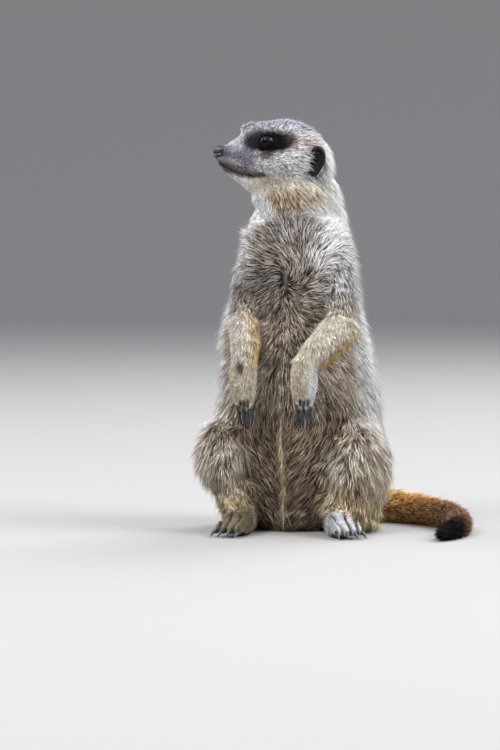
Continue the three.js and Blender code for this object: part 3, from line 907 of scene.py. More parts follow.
TONES = {
    "crown": tone((164, 164, 173), (32, 30, 34), 0.52),
    "cheek": tone((230, 229, 231), (70, 64, 66), 0.32),
    "brow": tone((222, 222, 229), (84, 80, 86), 0.32),
    "bridge": tone((196, 199, 206), (98, 96, 103), 0.27),
    "muzzle": tone((186, 187, 195), (64, 60, 66), 0.36),
    "snout": tone((138, 136, 142), (44, 40, 44), 0.46),
    "spots": tone((150, 150, 162), (44, 42, 52), 0.5),
    "lip": tone((122, 98, 84), (30, 22, 19), 0.52),
    "mask": tone((11, 10, 13), (3, 3, 5), 0.6),
    "dusk": tone((58, 59, 70), (17, 17, 23), 0.5),
    "umber": tone((84, 68, 58), (26, 20, 18), 0.5),
    "temple": tone((212, 202, 196), (96, 84, 78), 0.3),
    "chin": tone((250, 243, 234), (186, 173, 158), 0.1),
    "jaw": tone((200, 178, 152), (92, 73, 57), 0.4),
    "cream": tone((250, 238, 214), (190, 164, 128), 0.16),
    "throat": tone((248, 248, 250), (196, 194, 197), 0.12),
    "nape": tone((255, 254, 252), (198, 192, 184), 0.1),
    "chest": tone((168, 158, 150), (22, 18, 17), 0.62),
    "apron": tone((206, 190, 172), (40, 32, 27), 0.42),
    "shoulder": tone((222, 219, 219), (70, 65, 63), 0.32),
    "belly": tone((192, 170, 147), (20, 15, 12), 0.62),
    "ridge": tone((226, 208, 176), (110, 90, 66), 0.2),
    "flank": tone((254, 252, 246), (122, 108, 94), 0.2),
    "back": tone((204, 192, 173), (58, 46, 38), 0.42),
    "band": tone((106, 82, 62), (30, 23, 20), 0.6),
    "thigh": tone((232, 220, 202), (66, 54, 43), 0.38),
    "fringe": tone((230, 196, 136), (90, 64, 34), 0.34),
    "arm": tone((234, 227, 212), (132, 116, 92), 0.2),
    "edge": tone((218, 174, 92), (100, 71, 32), 0.31),
    # The dark of the bare spot at the right wrist, also laid in the grooves between the toes as painted
    # shade.
    "wrist_spot_and_toe_shade": tone((84, 80, 82), (36, 33, 37), 0.5),
    "hand": tone((230, 218, 196), (132, 114, 84), 0.22),
    # The right foot's tone: its yellow is its own colour, and its darkness is painted shade from under the
    # belly.
    "ochre": tone((146, 131, 98), (44, 37, 25), 0.46),
    "paw": tone((226, 227, 229), (108, 104, 101), 0.28),
    "tail_root": tone((238, 184, 120), (122, 86, 50), 0.37),
    "tail_middle": tone((168, 132, 106), (70, 52, 42), 0.38),
    "tail_tip": tone((40, 36, 42), (12, 12, 15), 0.6),
}


def oval(places, centre, halves, soft=0.35):
    """1 inside an oval and 0 outside, with a soft edge of that share of its size."""
    ring = np.sqrt((((places - centre) / halves) ** 2).sum(-1))
    return fade(ring, 1 - soft / 2, 1 + soft / 2)


def lay(worn, name, share):
    """Lays a tone over what is worn, by its share at each place."""
    worn += np.clip(share, 0, 1)[:, None] * (TONES[name] - worn)


# What softens the mask's edge: the tone, its share, and an oval's centre and half-sizes, forward and up.
ROUND_THE_MASK = [
    ("dusk", 0.7, (25.5, 11.2), (5.5, 4.4)),
    ("umber", 0.8, (17.6, 2.8), (4.6, 2.4)),
    ("umber", 0.65, (23.5, 16.0), (6.5, 1.9)),
    ("umber", 0.6, (3.6, 12), (3.6, 3.6)),
]


def head_markings(points):
    """The head's markings, laid over one another: the grey crown and pale brow, the dark mask round each
    eye, the grey muzzle with its brown lips, and the pale chin."""
    forward, left, up = in_head(points).T
    flat = np.stack([forward, up], 1)
    broken = waves(points, 5, 41)
    on_side = fade(np.abs(left) / np.interp(forward, [16, 30], [1, 0.5]), 13, 8)
    worn = np.tile(TONES["cheek"], (len(points), 1))
    lay(worn, "crown", fade(up + broken, 20, 14))
    lay(worn, "temple", on_side * oval(flat, (-4.5, 10.5), (10, 7), 0.9))
    lay(worn, "crown", 0.8 * on_side * oval(flat, (-11.5, -1), (5, 8), 0.9))
    above_eye = bell(up + 0.1 * forward - 19.5 + 0.6 * broken, 2.6)
    lay(worn, "brow", 0.65 * above_eye * fade(forward, 2, -8) * fade(forward, 19, 26) * on_side)
    lay(worn, "nape", fade(forward, -23, -13) * fade(up, 6, 14))
    lay(worn, "bridge", fade(forward, 25, 17) * fade(up, 7, 3) * fade(up + broken, 13, 20))
    lay(worn, "muzzle", fade(forward, 30, 20) * fade(up, 3, 9))
    lay(worn, "snout", fade(forward, 42, 34) * fade(up, 7.5, 10))
    lay(worn, "spots", 0.85 * oval(flat, (29.5, 1.6), (6.5, 5.5), 0.8))
    away, above = distance_to(flat, MOUTH)
    lay(worn, "chin", fade(above + 0.4 * broken, -3.2, -1.4) * fade(forward, 16, 2))
    lay(worn, "cream", oval(flat, (4, -14), (20, 5), 0.9))
    band = np.interp(forward, [16, 22, 34, 44, 50], [2.0, 3.8, 5.0, 2.4, 0.8])
    ragged = 0.75 + 0.3 * waves(points, 2.6, 45)
    lay(worn, "lip", ragged * fade((away + 0.9 * broken) / band, 0.3, 1.3) * fade(above + broken, 0.2, -2.8)
        * (1 - 0.5 * bell(left, 3.5)))
    lay(worn, "mask", 0.35 * bell(away, 0.8) * fade(forward, 20, 15))
    patch = flat + 0.5 * broken[:, None]
    lay(worn, "mask", oval(patch, (15.9, 11.0), (14.4, 6.5), 0.42) * on_side)
    for name, share, centre, halves in ROUND_THE_MASK:
        lay(worn, name, share * oval(flat, centre, halves, 0.9) * on_side)
    return worn


FIRST_BAR, BAR_STEP = 52, 15.5  # the height of a dark bar on the back, and from each bar to the next
SEAM_HALF = 0.9  # half as wide as the pale line down the belly


def seam_line(points):
    """Where across the body the belly's middle line lies at each place: it wavers a little."""
    return RIDGE + 1.2 * waves(points * [0, 0, 1], 30, 8)


def trunk_markings(points):
    """The trunk's markings: the back barred, the flanks and shoulders pale, the chest and belly dark with a
    pale parting from the throat to the whorl and a pale line low down the middle."""
    x, height = points[:, 0], points[:, 2] + 3 * waves(points, 22, 3)
    turn = trunk_turn(points) + 0.12 * waves(points, 18, 4)
    side = np.abs(turn)
    worn = np.tile(TONES["back"], (len(points), 1))
    bars = fade(np.cos(2 * math.pi * (height - FIRST_BAR) / BAR_STEP), 0.2, -0.5) * fade(side, 2.1, 1.75)
    lay(worn, "band", 0.8 * bars * fade(height, 165, 182) * fade(height, 46, 34))
    uneven = side + 0.16 * waves(points, 30, 17) + 0.1 * waves(points, 8, 18)
    lay(worn, "flank", fade(uneven, 1.7, 2.4))
    lay(worn, "nape", 0.7 * fade(height, 200, 160) * fade(side, 1.2, 0.8) * fade(side, 2.0, 2.8))
    lay(worn, "back", fade(height, 8, 26) * fade(side, 1.5, 1.2))
    lay(worn, "chest", fade(side, 0.85, 1.3) * fade(height, 124, 100))
    lay(worn, "apron", fade(side, 0.75, 1.2) * fade(height, 128, 152))
    lay(worn, "belly", fade(side, 0.5, 1.0) * fade(height, 68, 96))
    lay(worn, "belly", 0.6 * fade(side, 0.9, 1.3) * fade(height, 62, 80))
    lay(worn, "apron", 0.8 * fade(side, 0.6, 1.0) * bell(height - 102, 16))
    turn_and_height = np.stack([turn, height / 40], 1)
    on_left = oval(turn_and_height, (1.25, 4.3), (0.8, 0.85), 0.9)
    on_right = oval(turn_and_height, (-1.3, 4.3), (0.7, 0.85), 0.9)
    lay(worn, "shoulder", on_left + on_right)
    parting = bell(x - WHORL[0] + 4 + waves(points, 9, 9), 1.3)
    lay(worn, "shoulder", 0.5 * parting * fade(height, 176, 164) * fade(side, 0.7, 1.0))
    line = bell(x - seam_line(points), SEAM_HALF)
    lay(worn, "ridge", 0.25 * line * fade(height, 68, 84) * fade(side, 0.8, 1.0))
    return worn


def neck_markings(points):
    """The neck's: the throat white in front, a tan patch on each side and pale hair down the nape."""
    forward, _, up = in_head(points).T
    height = points[:, 2]
    flat = np.stack([forward, up + 0.12 * (forward + 2)], 1) + 0.9 * waves(points, 7, 43)[:, None]
    worn = np.tile(TONES["nape"], (len(points), 1))
    lay(worn, "back", fade(height, 176, 206) * fade(np.abs(trunk_turn(points)), 2.5, 1.5))
    lay(worn, "shoulder", 0.8 * fade(height + 5 * waves(points, 12, 47), 170, 200))
    lay(worn, "cream", oval(flat, (0, -16), (20, 7), 0.8))
    lay(worn, "jaw", 0.75 * oval(flat, (1, -22.5), (17, 6.5), 1.1))
    lay(worn, "jaw", 0.8 * oval(flat, (7, -25), (10, 7.5), 1.0))
    lay(worn, "throat", fade(forward - 0.75 * (up + 21.6) + 0.8 * waves(points, 6, 44), 19, 15))
    collar = up + 0.06 * (forward - 2) ** 2 + waves(points, 5, 46)
    lay(worn, "chest", 0.85 * fade(collar, -31, -25) * fade(forward, 12, 18))
    return worn


def markings(points, normals, weights):
    """What the coat and the skin wear at each place, as rows of a tone. Every marking is a smooth shape set
    out from the landmarks of the head, the trunk, the limbs and the tail."""
    on = by_form(weights)
    worn = blend(trunk_markings(points), neck_markings(points), np.clip(1.5 * on["neck"] + on["head"], 0, 1))
    worn = blend(worn, head_markings(points), fade(on["head"], 0.75, 0.35))
    limb_markings(worn, points, normals, weights)
    return worn


def limb_markings(worn, points, normals, weights):
    """The limbs' and the tail's markings, laid over what is worn, with painted shade in the grooves between
    the toes and over the right foot.
    """
    on = by_form(weights)
    height = points[:, 2] + 2 * waves(points, 14, 5)
    right = points[:, 0] < CHEST[0]
    haunch = on["thigh"] + on["shank"]
    in_front = fade(normals[:, 1], 0.3, 0.8)
    lay(worn, "thigh", haunch * fade(height, 46, 76) * in_front)
    lay(worn, "belly", 0.4 * haunch * fade(waves(points, 24, 13), 0.7, 0.0))
    outer = fade(np.abs(points[:, 0] - CHEST[0]), 52, 36) * (0.8 + 0.4 * waves(points, 9, 16))
    lay(worn, "flank", 0.65 * haunch * fade(height, 84, 50) * outer)
    lay(worn, "fringe", haunch * fade(height, 10, 58) * (0.62 + 0.5 * waves(points, 13, 12)) * in_front)
    lay(worn, "arm", 0.9 * on["upper_arm"] * fade(height, 114, 156) * fade(normals[:, 1], 0.0, 0.5))
    lay(worn, "arm", on["forearm"])
    lay(worn, "cream", 0.4 * on["forearm"] * ~right)
    # The ochre edge is on the side towards the belly on the right arm, and on the underside of the left.
    under = np.where(right, normals[:, 0] - 0.12, normals @ unit(np.array([0.45, 0.1, -0.9])) + 0.14)
    under += 0.16 * waves(points, 8, 14) + 0.1 * waves(points, 2.5, 15)
    sleeve = on["forearm"] + on["upper_arm"] * fade(height, 126, 146)
    lay(worn, "edge", 0.8 * sleeve * fade(under, 0.9, 0.25))
    lay(worn, "hand", on["hand"])
    outside = ~right * fade(normals[:, 0] + 0.15 * waves(points, 3, 19), 0.65, -0.15)
    lay(worn, "throat", (on["hand"] + 0.6 * on["forearm"] * fade(height, 92, 104)) * outside)
    spot = np.linalg.norm((points - (middle("hand_right") + [0, -5, 14])) / [2.2, 4, 4.5], axis=1)
    lay(worn, "wrist_spot_and_toe_shade", 0.8 * right * fade(spot, 0.7, 1.3))
    toes = min(claw_roots("foot", side)[:, 1].mean() for side in SIDES)
    shown = on["foot"] * fade(points[:, 1] - toes, 20, 32)
    lay(worn, "paw", shown)
    # The right foot wears ochre: yellower in its own colour, and darker as painted shade.
    lay(worn, "ochre", 0.95 * shown * right)
    # The grooves between the toes are darkened with it: painted shade.
    lay(worn, "wrist_spot_and_toe_shade", toe_gaps(points, weights))
    share = nearest_along(points, TAIL) + 0.02 * waves(points, 6, 6)
    lay(worn, "tail_root", on["tail"])
    lay(worn, "tail_middle", on["tail"] * fade(share, 0.6, 0.3))
    lay(worn, "tail_tip", on["tail"] * fade(share, 0.84, 0.68))


# ---------------------------------------------------------------- coat

PATCH = 0.003  # how wide a tuft's patch is on the unwrap
MOST_TUFTS = 32500  # in one piece
FEWEST_TUFTS = 50  # in one piece: fewer are left out
TUFTS = 215000
LONG_HAIRS = 11000
ROOT_SINK = 0.5  # how far under the skin a root is
WHORL_REACH = 9  # how far round the whorl the coat is short, steep and close


def tuft_template(rings):
    """The faces of one tuft and their places on its patch. A tuft is a point at the root, rings of three
    corners, and a point at the tip; a corner is (row, turn), with turn in thirds of the way round."""
    triangles = []
    for i in range(3):
        triangles.append([(0, i + 0.5), (1, i + 1), (1, i)])
        for row in range(1, rings):
            triangles.append([(row, i), (row, i + 1), (row + 1, i + 1)])
            triangles.append([(row, i), (row + 1, i + 1), (row + 1, i)])
        triangles.append([(rings, i), (rings, i + 1), (rings + 1, i + 0.5)])

    def number(row, turn):
        if row in (0, rings + 1):
            return min(row, 1) * (3 * rings + 1)
        return 1 + 3 * (row - 1) + turn % 3

    faces = [[number(*corner) for corner in triangle] for triangle in triangles]
    flat = [[(turn / 3, row / (rings + 1)) for row, turn in triangle] for triangle in triangles]
    return np.array(faces), np.array(flat)


class Hide:
    """The finished skin's arrays, and what grows on it."""

    def __init__(self, mesh, weights):
        self.mesh, self.weights = mesh, weights
        self.points, self.normals = read_points(mesh), read_normals(mesh)
        self.flat = unwrap(mesh)
        self.faces = read_triangles(mesh)
        self.average = averager(mesh)
        self.way = comb(self.points, self.normals, weights, self.average)
        a, b, c = (self.points[self.faces[:, i]] for i in range(3))
        self.areas = np.linalg.norm(np.cross(b - a, c - a), axis=1) / 2

    def scatter(self, crowd, count, seed):
        """Random places on the skin, as many to a square millimetre as `crowd` says at its vertices."""
        rng = np.random.default_rng(seed)
        odds = self.areas * crowd[self.faces].mean(1)
        face = np.searchsorted(np.cumsum(odds) / odds.sum(), rng.random(count))
        share = rng.random((count, 2))
        share[share.sum(1) > 1] = 1 - share[share.sum(1) > 1]
        return np.clip(face, 0, len(self.faces) - 1), np.column_stack([1 - share.sum(1), share])

    def at(self, values, places):
        """Values of the vertices, read at scattered places."""
        face, share = places
        values = values[self.faces[face]]
        return np.einsum("nk,nk...->n...", share, values)


def haired(points):
    """0 where no hair grows, in the eyes' openings, in the ears and on the nose, and 1 elsewhere."""
    grown = 1 - fade(np.linalg.norm((points - NOSE) @ HEAD_AXES.T / [5.0, 4.6, 4.8], axis=1), 0.95, 1.05)
    for side in SIDES:
        out, _, ring = seen_from_eye(points, side)
        grown *= 1 - (out > 0) * fade(ring, 1.16, 1.3)
        gap = (points - EARS[side]) @ HEAD_AXES.T / [6.4, 9, 7.4]
        grown *= 1 - fade(np.linalg.norm(gap, axis=1), 0.85, 1.05)
    return grown


def locks(points, size, seed):
    """The lock that each place belongs to, one in each cell of a grid of cubes whose edges are made wavy:
    the lock's middle, a random spot in its cell, and a chance number from 0 to 1 of its own."""
    shaken = points + 0.35 * size * np.stack([waves(points, 8, seed + i) for i in range(3)], 1)
    cell = np.floor(shaken / size).astype(np.int64)
    mixed = (cell * [73856093, 19349663, 83492791]).sum(1) ^ seed
    spot = np.stack([((mixed * k) % 1009) / 1009 for k in (7919, 104729, 1299709, 15485863)], 1)
    return (cell + 0.2 + 0.6 * spot[:, :3]) * size, spot[:, 3]


def paw_share(points, weights):
    """Tufts shorten over the last of the toes: the share of their length, by the distance to a claw."""
    share = np.ones(len(points))
    for limb in TOES:
        on = share_of(weights, limb) > 0.5
        away = np.full(on.sum(), 99.0)
        for side in SIDES:
            for claw in claw_roots(limb, side):
                away = np.minimum(away, np.linalg.norm(points[on] - claw, axis=1))
        share[on] = np.interp(away, [1.5, 4, 12], [0.3, 0.45, 1.0])
    return share


def tuft_sizes(root, weights, rng, long):
    """How long and wide each tuft is and how steeply it rises: what its forms say, by chance more or less.
    Tufts are shorter on the face, the toes, the throat and round the whorl. They rise steeper round the
    whorl, where the brow bristles and where the belly's two sides meet."""
    count, on = len(root), by_form(weights)
    share = head_share(root, weights, HEAD_LENGTHS)
    length = column(weights, LENGTH) * share * rng.uniform(0.65, 1.3, count)
    width = column(weights, WIDTH) * (0.55 + 0.45 * share) * rng.uniform(0.75, 1.25, count)
    lift = column(weights, LIFT) * rng.uniform(0.6, 1.5, count)
    throat = on["neck"] * fade(in_head(root)[:, 0], 14, 6)
    turning = bell(np.linalg.norm(root - WHORL, axis=1), WHORL_REACH)
    brow = bell(np.linalg.norm(in_head(root) - [28, 0, 19], axis=1), 5)
    meeting = on["abdomen"] * bell(root[:, 0] - seam_line(root), 1.4) * fade(root[:, 2], 62, 80)
    length *= paw_share(root, weights) * (1 - 0.4 * throat) * (1 - 0.35 * turning) * (1 + 0.2 * brow)
    lift *= (1 - 0.2 * throat) * (1 + 0.5 * turning) * (1 + 0.8 * brow) * (1 + 0.7 * meeting)
    if long:
        return length * 1.35, width * 0.62, np.radians(lift * 0.9)
    return length, width, np.radians(lift)


def tuft_spines(root, normal, way, sizes, rng, long):
    """The points along each tuft's middle line: from under the skin at the root, along the lie of the coat,
    rising by length tan(lift) (t - 0.35 t^2) / 0.65, bending to one side by length curl t^2, and with the
    tip drawn to the middle of its lock."""
    length, _, lift = sizes
    across = np.cross(normal, way)
    lock = locks(root, 2.4, 11)[0] - root
    lock -= (lock * normal).sum(1, keepdims=True) * normal
    lock *= np.minimum(1, 0.3 * length / np.maximum(np.linalg.norm(lock, axis=1), 0.1))[:, None]
    curl = 0.1 * waves(root, 14, 31) + rng.normal(0, 0.06, len(root))
    spine = []
    for t in (0.0, 0.3, 0.66, 1.0) if long else (0.0, 0.42, 1.0):
        rise = np.tan(lift) * (t - 0.35 * t * t) / 0.65
        sway = curl * t * t + (0.05 * np.sin(5 * t + 6 * rng.random()) if long else 0)
        spine.append(root - normal * ROOT_SINK * (1 - t) + length[:, None]
                     * (t * way + rise[:, None] * normal + sway[:, None] * across) + 0.4 * t * lock)
    return np.stack(spine, 1)


def shape_tufts(hide, places, seed, long=False):
    """The points and colours of tufts at scattered places: each a point at the root, a ring or two of three
    corners round its spine, and a point at the tip."""
    rng = np.random.default_rng(seed)
    root, normal = hide.at(hide.points, places), unit(hide.at(hide.normals, places))
    way, weights = hide.at(hide.way, places), hide.at(hide.weights, places)
    on = by_form(weights)
    sizes = tuft_sizes(root, weights, rng, long)
    calm = 0.7 * on["forearm"] + on["hand"] + on["foot"]
    stirred = (0.16 - 0.08 * calm)[:, None] * rng.normal(size=root.shape)
    swayed = 0.12 * waves(root, 9, 21)[:, None] * np.cross(normal, way)
    way = flattened(way + stirred + swayed, normal)
    spine = tuft_spines(root, normal, way, sizes, rng, long)
    across, width = np.cross(normal, way), sizes[1]
    swell = (1.0, 0.78) if long else (1.0,)
    rings = []
    for row, wide in enumerate(swell, 1):
        for turn in (math.pi / 2, math.pi * 7 / 6, math.pi * 11 / 6):
            aside = math.cos(turn) * across + 0.6 * math.sin(turn) * normal
            rings.append(spine[:, row] + (width * wide / 2)[:, None] * aside)
    points = np.stack([spine[:, 0], *rings, spine[:, -1]], 1)
    points[..., 2] = np.maximum(points[..., 2], 0.08 + 0.1 * rng.random((len(root), 1)))
    seam = on["abdomen"] * fade(root[:, 2], 70, 86) * fade(normal[:, 1], -0.6, -0.2)
    seam = seam[:, None] * bell(spine[:, [1, -1], 0] - seam_line(root)[:, None], SEAM_HALF)
    fine = np.clip(on["head"] + on["chest"] + on["neck"], 0, 1)
    worn = markings(root, normal, weights)
    return points, tuft_colours(worn, len(swell), rng, root, fine, seam, calm)


def tuft_colours(worn, rings, rng, root, fine, seam, calm):
    """The colour of every point of each tuft, darkest at the root. A share of tufts is dark, more in some
    locks and less in others, and these have light tips. Tips that meet at the belly's middle line are pale.
    The locks are smaller where the coat is fine, and differ less where it is calm."""
    count = len(worn)
    light, dark, share = worn[:, :3], worn[:, 3:6], worn[:, 6]
    chance = locks(root, 1.2, 14)[1] * fine + locks(root, 1.9, 15)[1] * (1 - fine)
    chance += 0.5 * calm * (0.5 - chance)
    is_dark = (rng.random(count) < share * (0.45 + 1.1 * chance)).astype(float)
    frosted = rng.random(count) < 0.1
    own = blend(light, dark, is_dark) * rng.uniform(0.6, 1.35, (count, 1))
    own *= 1 + (0.85 - 0.6 * calm - 0.25 * fine)[:, None] * (0.5 - chance[:, None])
    own = blend(own, light * 1.3, frosted * 0.8)
    own *= 1 + 0.12 * waves(root, 7, 51)[:, None]
    base = blend(dark, own, 0.2) * 0.5
    tip = blend(own * 1.15, light * 1.1, is_dark * rng.random(count) * 0.8)
    own, tip = (blend(colour, TONES["ridge"][:3], met) for colour, met in zip((own, tip), seam.T))
    colours = [base] + [own] * 3 + [blend(own, tip, 0.5)] * 3 * (rings - 1) + [tip]
    return np.clip(np.stack(colours, 1), 0.002, 0.95)


def coat_piece(name, hide, places, points, colours, material, slot):
    """One piece of coat: its tufts, with their colours on their points and their patches on the unwrap."""
    rings = (points.shape[1] - 2) // 3
    faces, patch = tuft_template(rings)
    count, corners = points.shape[:2]
    every = (faces[None] + np.arange(count)[:, None, None] * corners).reshape(-1, 3)
    mesh = make_mesh(name, points.reshape(-1, 3), every)
    face, share = places
    root = np.einsum("nk,nkc->nc", share, hide.flat[face])
    flat = (root[:, None, None] + (patch[None] - 0.5) * PATCH).reshape(-1, 2)
    mesh.uv_layers.new(name="OFBake").data.foreach_set("uv", flat.ravel().astype(np.float32))
    paint(mesh, colours.reshape(-1, 3))
    return dress(name, mesh, material, slot)


def paint(mesh, colours):
    """Sets the attribute `pigment` that the materials read."""
    flat = np.ones((len(colours), 4), np.float32)
    flat[:, :3] = colours
    mesh.attributes.new("pigment", "FLOAT_COLOR", "POINT").data.foreach_set("color", flat.ravel())


# The coat's pieces: each one's slot, and the forms that it grows on.
COAT_PARTS = {
    "head": ("coat_grizzled", ("head",)),
    "neck": ("coat_pale", ("neck",)),
    "chest": ("coat_grizzled", ("chest",)),
    "belly": ("coat_grizzled", ("abdomen",)),
    "haunch": ("coat_ochre", ("thigh", "shank")),
    "forelimb": ("coat_pale", ("upper_arm", "forearm", "hand")),
    "foot": ("coat_pale", ("foot",)),
    "tail": ("coat_ochre", ("tail",)),
}


def grow_coat(hide, material):
    """The whole coat: tufts everywhere, and longer hairs over the trunk, nape, thighs and tail."""
    grown = haired(hide.points)
    crowd = column(hide.weights, CROWD) * grown
    crowd *= 1 + 0.8 * bell(np.linalg.norm(hide.points - WHORL, axis=1), WHORL_REACH)
    crowd *= 1 - 0.75 * fade(hide.points[:, 2], 1.0, 3.0) * fade(hide.normals[:, 2], -0.7, -0.3)
    stray = share_of(hide.weights, "neck", "chest", "abdomen", "thigh", "tail") * grown
    scale = 1
    for label, worn, count, long in (("coat", crowd, TUFTS, False), ("hairs", stray, LONG_HAIRS, True)):
        places = hide.scatter(worn, int(count * scale), 5 + long)
        form = hide.at(hide.weights, places).argmax(1)
        height = hide.at(hide.points, places)[:, 2]
        for part, (slot, forms) in COAT_PARTS.items():
            mine = np.flatnonzero(np.isin(form, [FORM_NAMES.index(name) for name in forms]))
            mine = mine[np.argsort(height[mine], kind="stable")]
            groups = np.array_split(mine, max(1, math.ceil(len(mine) / MOST_TUFTS)))
            for number, group in enumerate(groups, 1):
                if len(group) < FEWEST_TUFTS:
                    continue
                spots = (places[0][group], places[1][group])
                seed = 100 * (len(bpy.data.meshes) + long)
                points, colours = shape_tufts(hide, spots, seed, long)
                coat_piece(f"{label}_{part}_{number}", hide, spots, points, colours, material, slot)


# ---------------------------------------------------------------- eyes, lids, nose, ears, claws and whiskers

IRIS = 4.3  # the iris's radius
PUPIL = (2.0, 1.25)  # the pupil's half-length and half-height
NOSE_HALVES = (5.0, 4.5, 4.7)  # the nose pad's half-sizes: forward, to the side and up
EAR_HALVES = (5.0, 8.1)  # half as wide and half as high as an ear's rim
CLAW_HALF = 1.3  # a claw's half-width at its root


def build_eye(side, material):
    """An eyeball: radius R plus a low swell over the iris, at an angle t from its look and a turn round it.
    The iris fades from brown at the pupil to near black at its edge; the pupil is a level oval."""
    look, ahead, rise = eye_axes(side)
    t = np.linspace(0.01, math.pi - 0.01, 60)[:, None]
    turn = np.linspace(0, 2 * math.pi, 96, endpoint=False)
    radius = EYE_RADIUS + 0.3 * fade(t, 0.3, 0.9) + 0 * turn
    along, high = np.sin(t) * np.cos(turn), np.sin(t) * np.sin(turn)
    rings = along[..., None] * ahead + high[..., None] * rise + (np.cos(t) + 0 * turn)[..., None] * look
    points, faces = loft(EYES[side] + radius[..., None] * rings)
    mesh = make_mesh(f"eyeball_{side}", points, faces)
    from_eye = points - EYES[side]
    aside, up = from_eye @ ahead, from_eye @ rise
    ring = np.hypot(aside, up)
    streak = 1 + 0.35 * np.sin(19 * np.arctan2(up, aside)) * np.sin(31 * np.arctan2(up, aside) + 1)
    iris = blend(linear(24, 21, 23), linear(9, 9, 12), np.clip(ring / IRIS, 0, 1) ** 1.5)
    colours = iris * streak[:, None]
    colours = blend(colours, linear(10, 8, 9), 1 - fade(ring, IRIS - 0.5, IRIS))
    colours = blend(colours, linear(4, 4, 5), fade(np.hypot(aside / PUPIL[0], up / PUPIL[1]), 0.92, 1.05))
    paint(mesh, colours)
    dress(f"eyeball_{side}", mesh, material, "eye", f"eye_{side}")


def build_lids(side, material):
    """The bare edge of the lids: a band on the eyeball round the lids' opening, thickest at the corner
    towards the nose."""
    look, ahead, rise = eye_axes(side)
    turn = np.linspace(0, 2 * math.pi, 72, endpoint=False)
    reach = lid_reach(turn) * 0.99
    along, high = reach * np.cos(turn), reach * np.sin(turn)
    out = np.sqrt(EYE_RADIUS**2 - along**2 - high**2)
    path = along[:, None] * ahead + high[:, None] * rise + out[:, None] * look
    away = unit(path)
    aside = unit(np.cross(away, np.roll(path, -1, 0) - np.roll(path, 1, 0)))
    thick = 0.8 + 0.3 * bell(turn, 0.5) + 0.3 * bell(turn - 2 * math.pi, 0.5)
    roll = np.linspace(0, 2 * math.pi, 10, endpoint=False)
    middle_line = EYES[side] + path + 0.2 * away
    rings = middle_line[:, None] + thick[:, None, None] * (
        np.cos(roll)[:, None] * aside[:, None] + 0.8 * np.sin(roll)[:, None] * away[:, None])
    mesh = make_mesh(f"lid_edge_{side}", *closed_band(rings))
    dress(f"lid_edge_{side}", mesh, material, "skin")


def build_nose(material):
    """The nose pad: a swollen box, 1 / (|f|^p + |l|^p + |u|^p)^(1/p) out in each direction (f, l, u), then
    drawn to its half-sizes and lower in front. Two round nostrils, each with a slit running back from it
    along the side, and a groove down the middle are pressed in."""
    t = np.linspace(0.01, math.pi - 0.01, 110)[:, None]
    turn = np.linspace(0, 2 * math.pi, 140, endpoint=False)
    way = np.stack([np.cos(t) + 0 * turn, np.sin(t) * np.cos(turn), np.sin(t) * np.sin(turn)], -1)
    swell = (np.abs(way) ** 2.4).sum(-1) ** (-1 / 2.4)
    forward, left, up = np.moveaxis(way, -1, 0)
    hole = bell(np.hypot(np.abs(left) - 0.5, up + 0.1), 0.17) * fade(forward, 0.3, 0.0)
    slit = bell(np.hypot((forward - 0.4) / 4.0, up + 0.12 + 0.16 * forward), 0.09)
    slit = slit * fade(np.abs(left), 0.6, 0.45)
    groove = bell(left, 0.06) * fade(up, -0.05, 0.25) * fade(forward, 0.4, 0.1)
    pressed = 0.45 * hole + 0.12 * slit + 0.1 * groove
    local = (swell - pressed)[..., None] * way
    local[..., 2] *= 1 - 0.1 * local[..., 0] * (local[..., 2] > 0)
    mesh = make_mesh("nose_pad", *loft(NOSE + (local * NOSE_HALVES) @ HEAD_AXES))
    # The pad's colour: darkened in the nostrils and slits, painted shade, and lightened over its top, a
    # painted highlight.
    painted_shade_and_highlight = 1 - np.clip(2.2 * hole + 1.4 * slit, 0, 0.9) + 1.6 * fade(up, 0.8, 0.2)
    flat = np.concatenate([painted_shade_and_highlight.ravel(), [1, 1]])
    paint(mesh, np.tile(linear(16, 17, 27), (len(flat), 1)) * flat[:, None])
    dress("nose_pad", mesh, material, "nose_leather", "nose")


# From the middle of an ear's hollow outwards: how far out along the ear's oval, and how high the shell
# stands there, as a share of the rim's height at that turn.
EAR_PROFILE = [
    (0.0, 0.0, -0.25), (0.3, 0.42, -0.2), (0.46, 0.66, 0.1), (0.58, 0.84, 0.75), (0.66, 0.93, 1.0),
    (0.74, 1.0, 0.94), (0.84, 1.09, 0.55), (0.93, 1.16, -0.1), (1.0, 1.18, -1.1),
]


def build_ear(side, material):
    """An ear, round its hollow at a turn a from the front and out across EAR_PROFILE by a share q. The rim
    stands 0.6 + 3 ((1 - cos a) / 2)^0.8 mm: low in front and high behind, with a fold inside it."""
    q = np.linspace(0.02, 1, 44)[:, None]
    turn = np.linspace(0, 2 * math.pi, 88, endpoint=False)
    stops, outs, highs = np.array(EAR_PROFILE).T
    reach, height = np.interp(q, stops, outs), np.interp(q, stops, highs)
    up = EAR_HALVES[1] * np.sin(turn) * reach
    narrow = 1 - 0.2 * fade(np.sin(turn), -0.9, 0.3)
    forward = EAR_HALVES[0] * np.cos(turn) * reach * narrow - 0.16 * up
    rim = 0.6 + 3.0 * ((1 - np.cos(turn)) / 2) ** 0.8
    fold = 0.9 * bell(q - 0.36, 0.05) * bell(turn - 3.4, 0.9)
    fold = fold + 0.7 * bell(q - 0.24, 0.05) * bell(turn - 2.6, 0.6)
    out = np.maximum(rim * height + fold - 0.05 * up, -2.6) - 0.7
    local = np.stack([forward, SIDES[side] * out, up], -1)
    mesh = make_mesh(f"ear_shell_{side}", *loft(EARS[side] + local @ HEAD_AXES))
    deep = fade(reach, 0.45, 0.9) + 0 * turn
    colours = blend(linear(20, 16, 19), linear(30, 25, 28), deep.ravel())
    paint(mesh, np.concatenate([colours, colours[[0, -1]]]))
    dress(f"ear_shell_{side}", mesh, material, "coat_dark", f"ear_{side}")


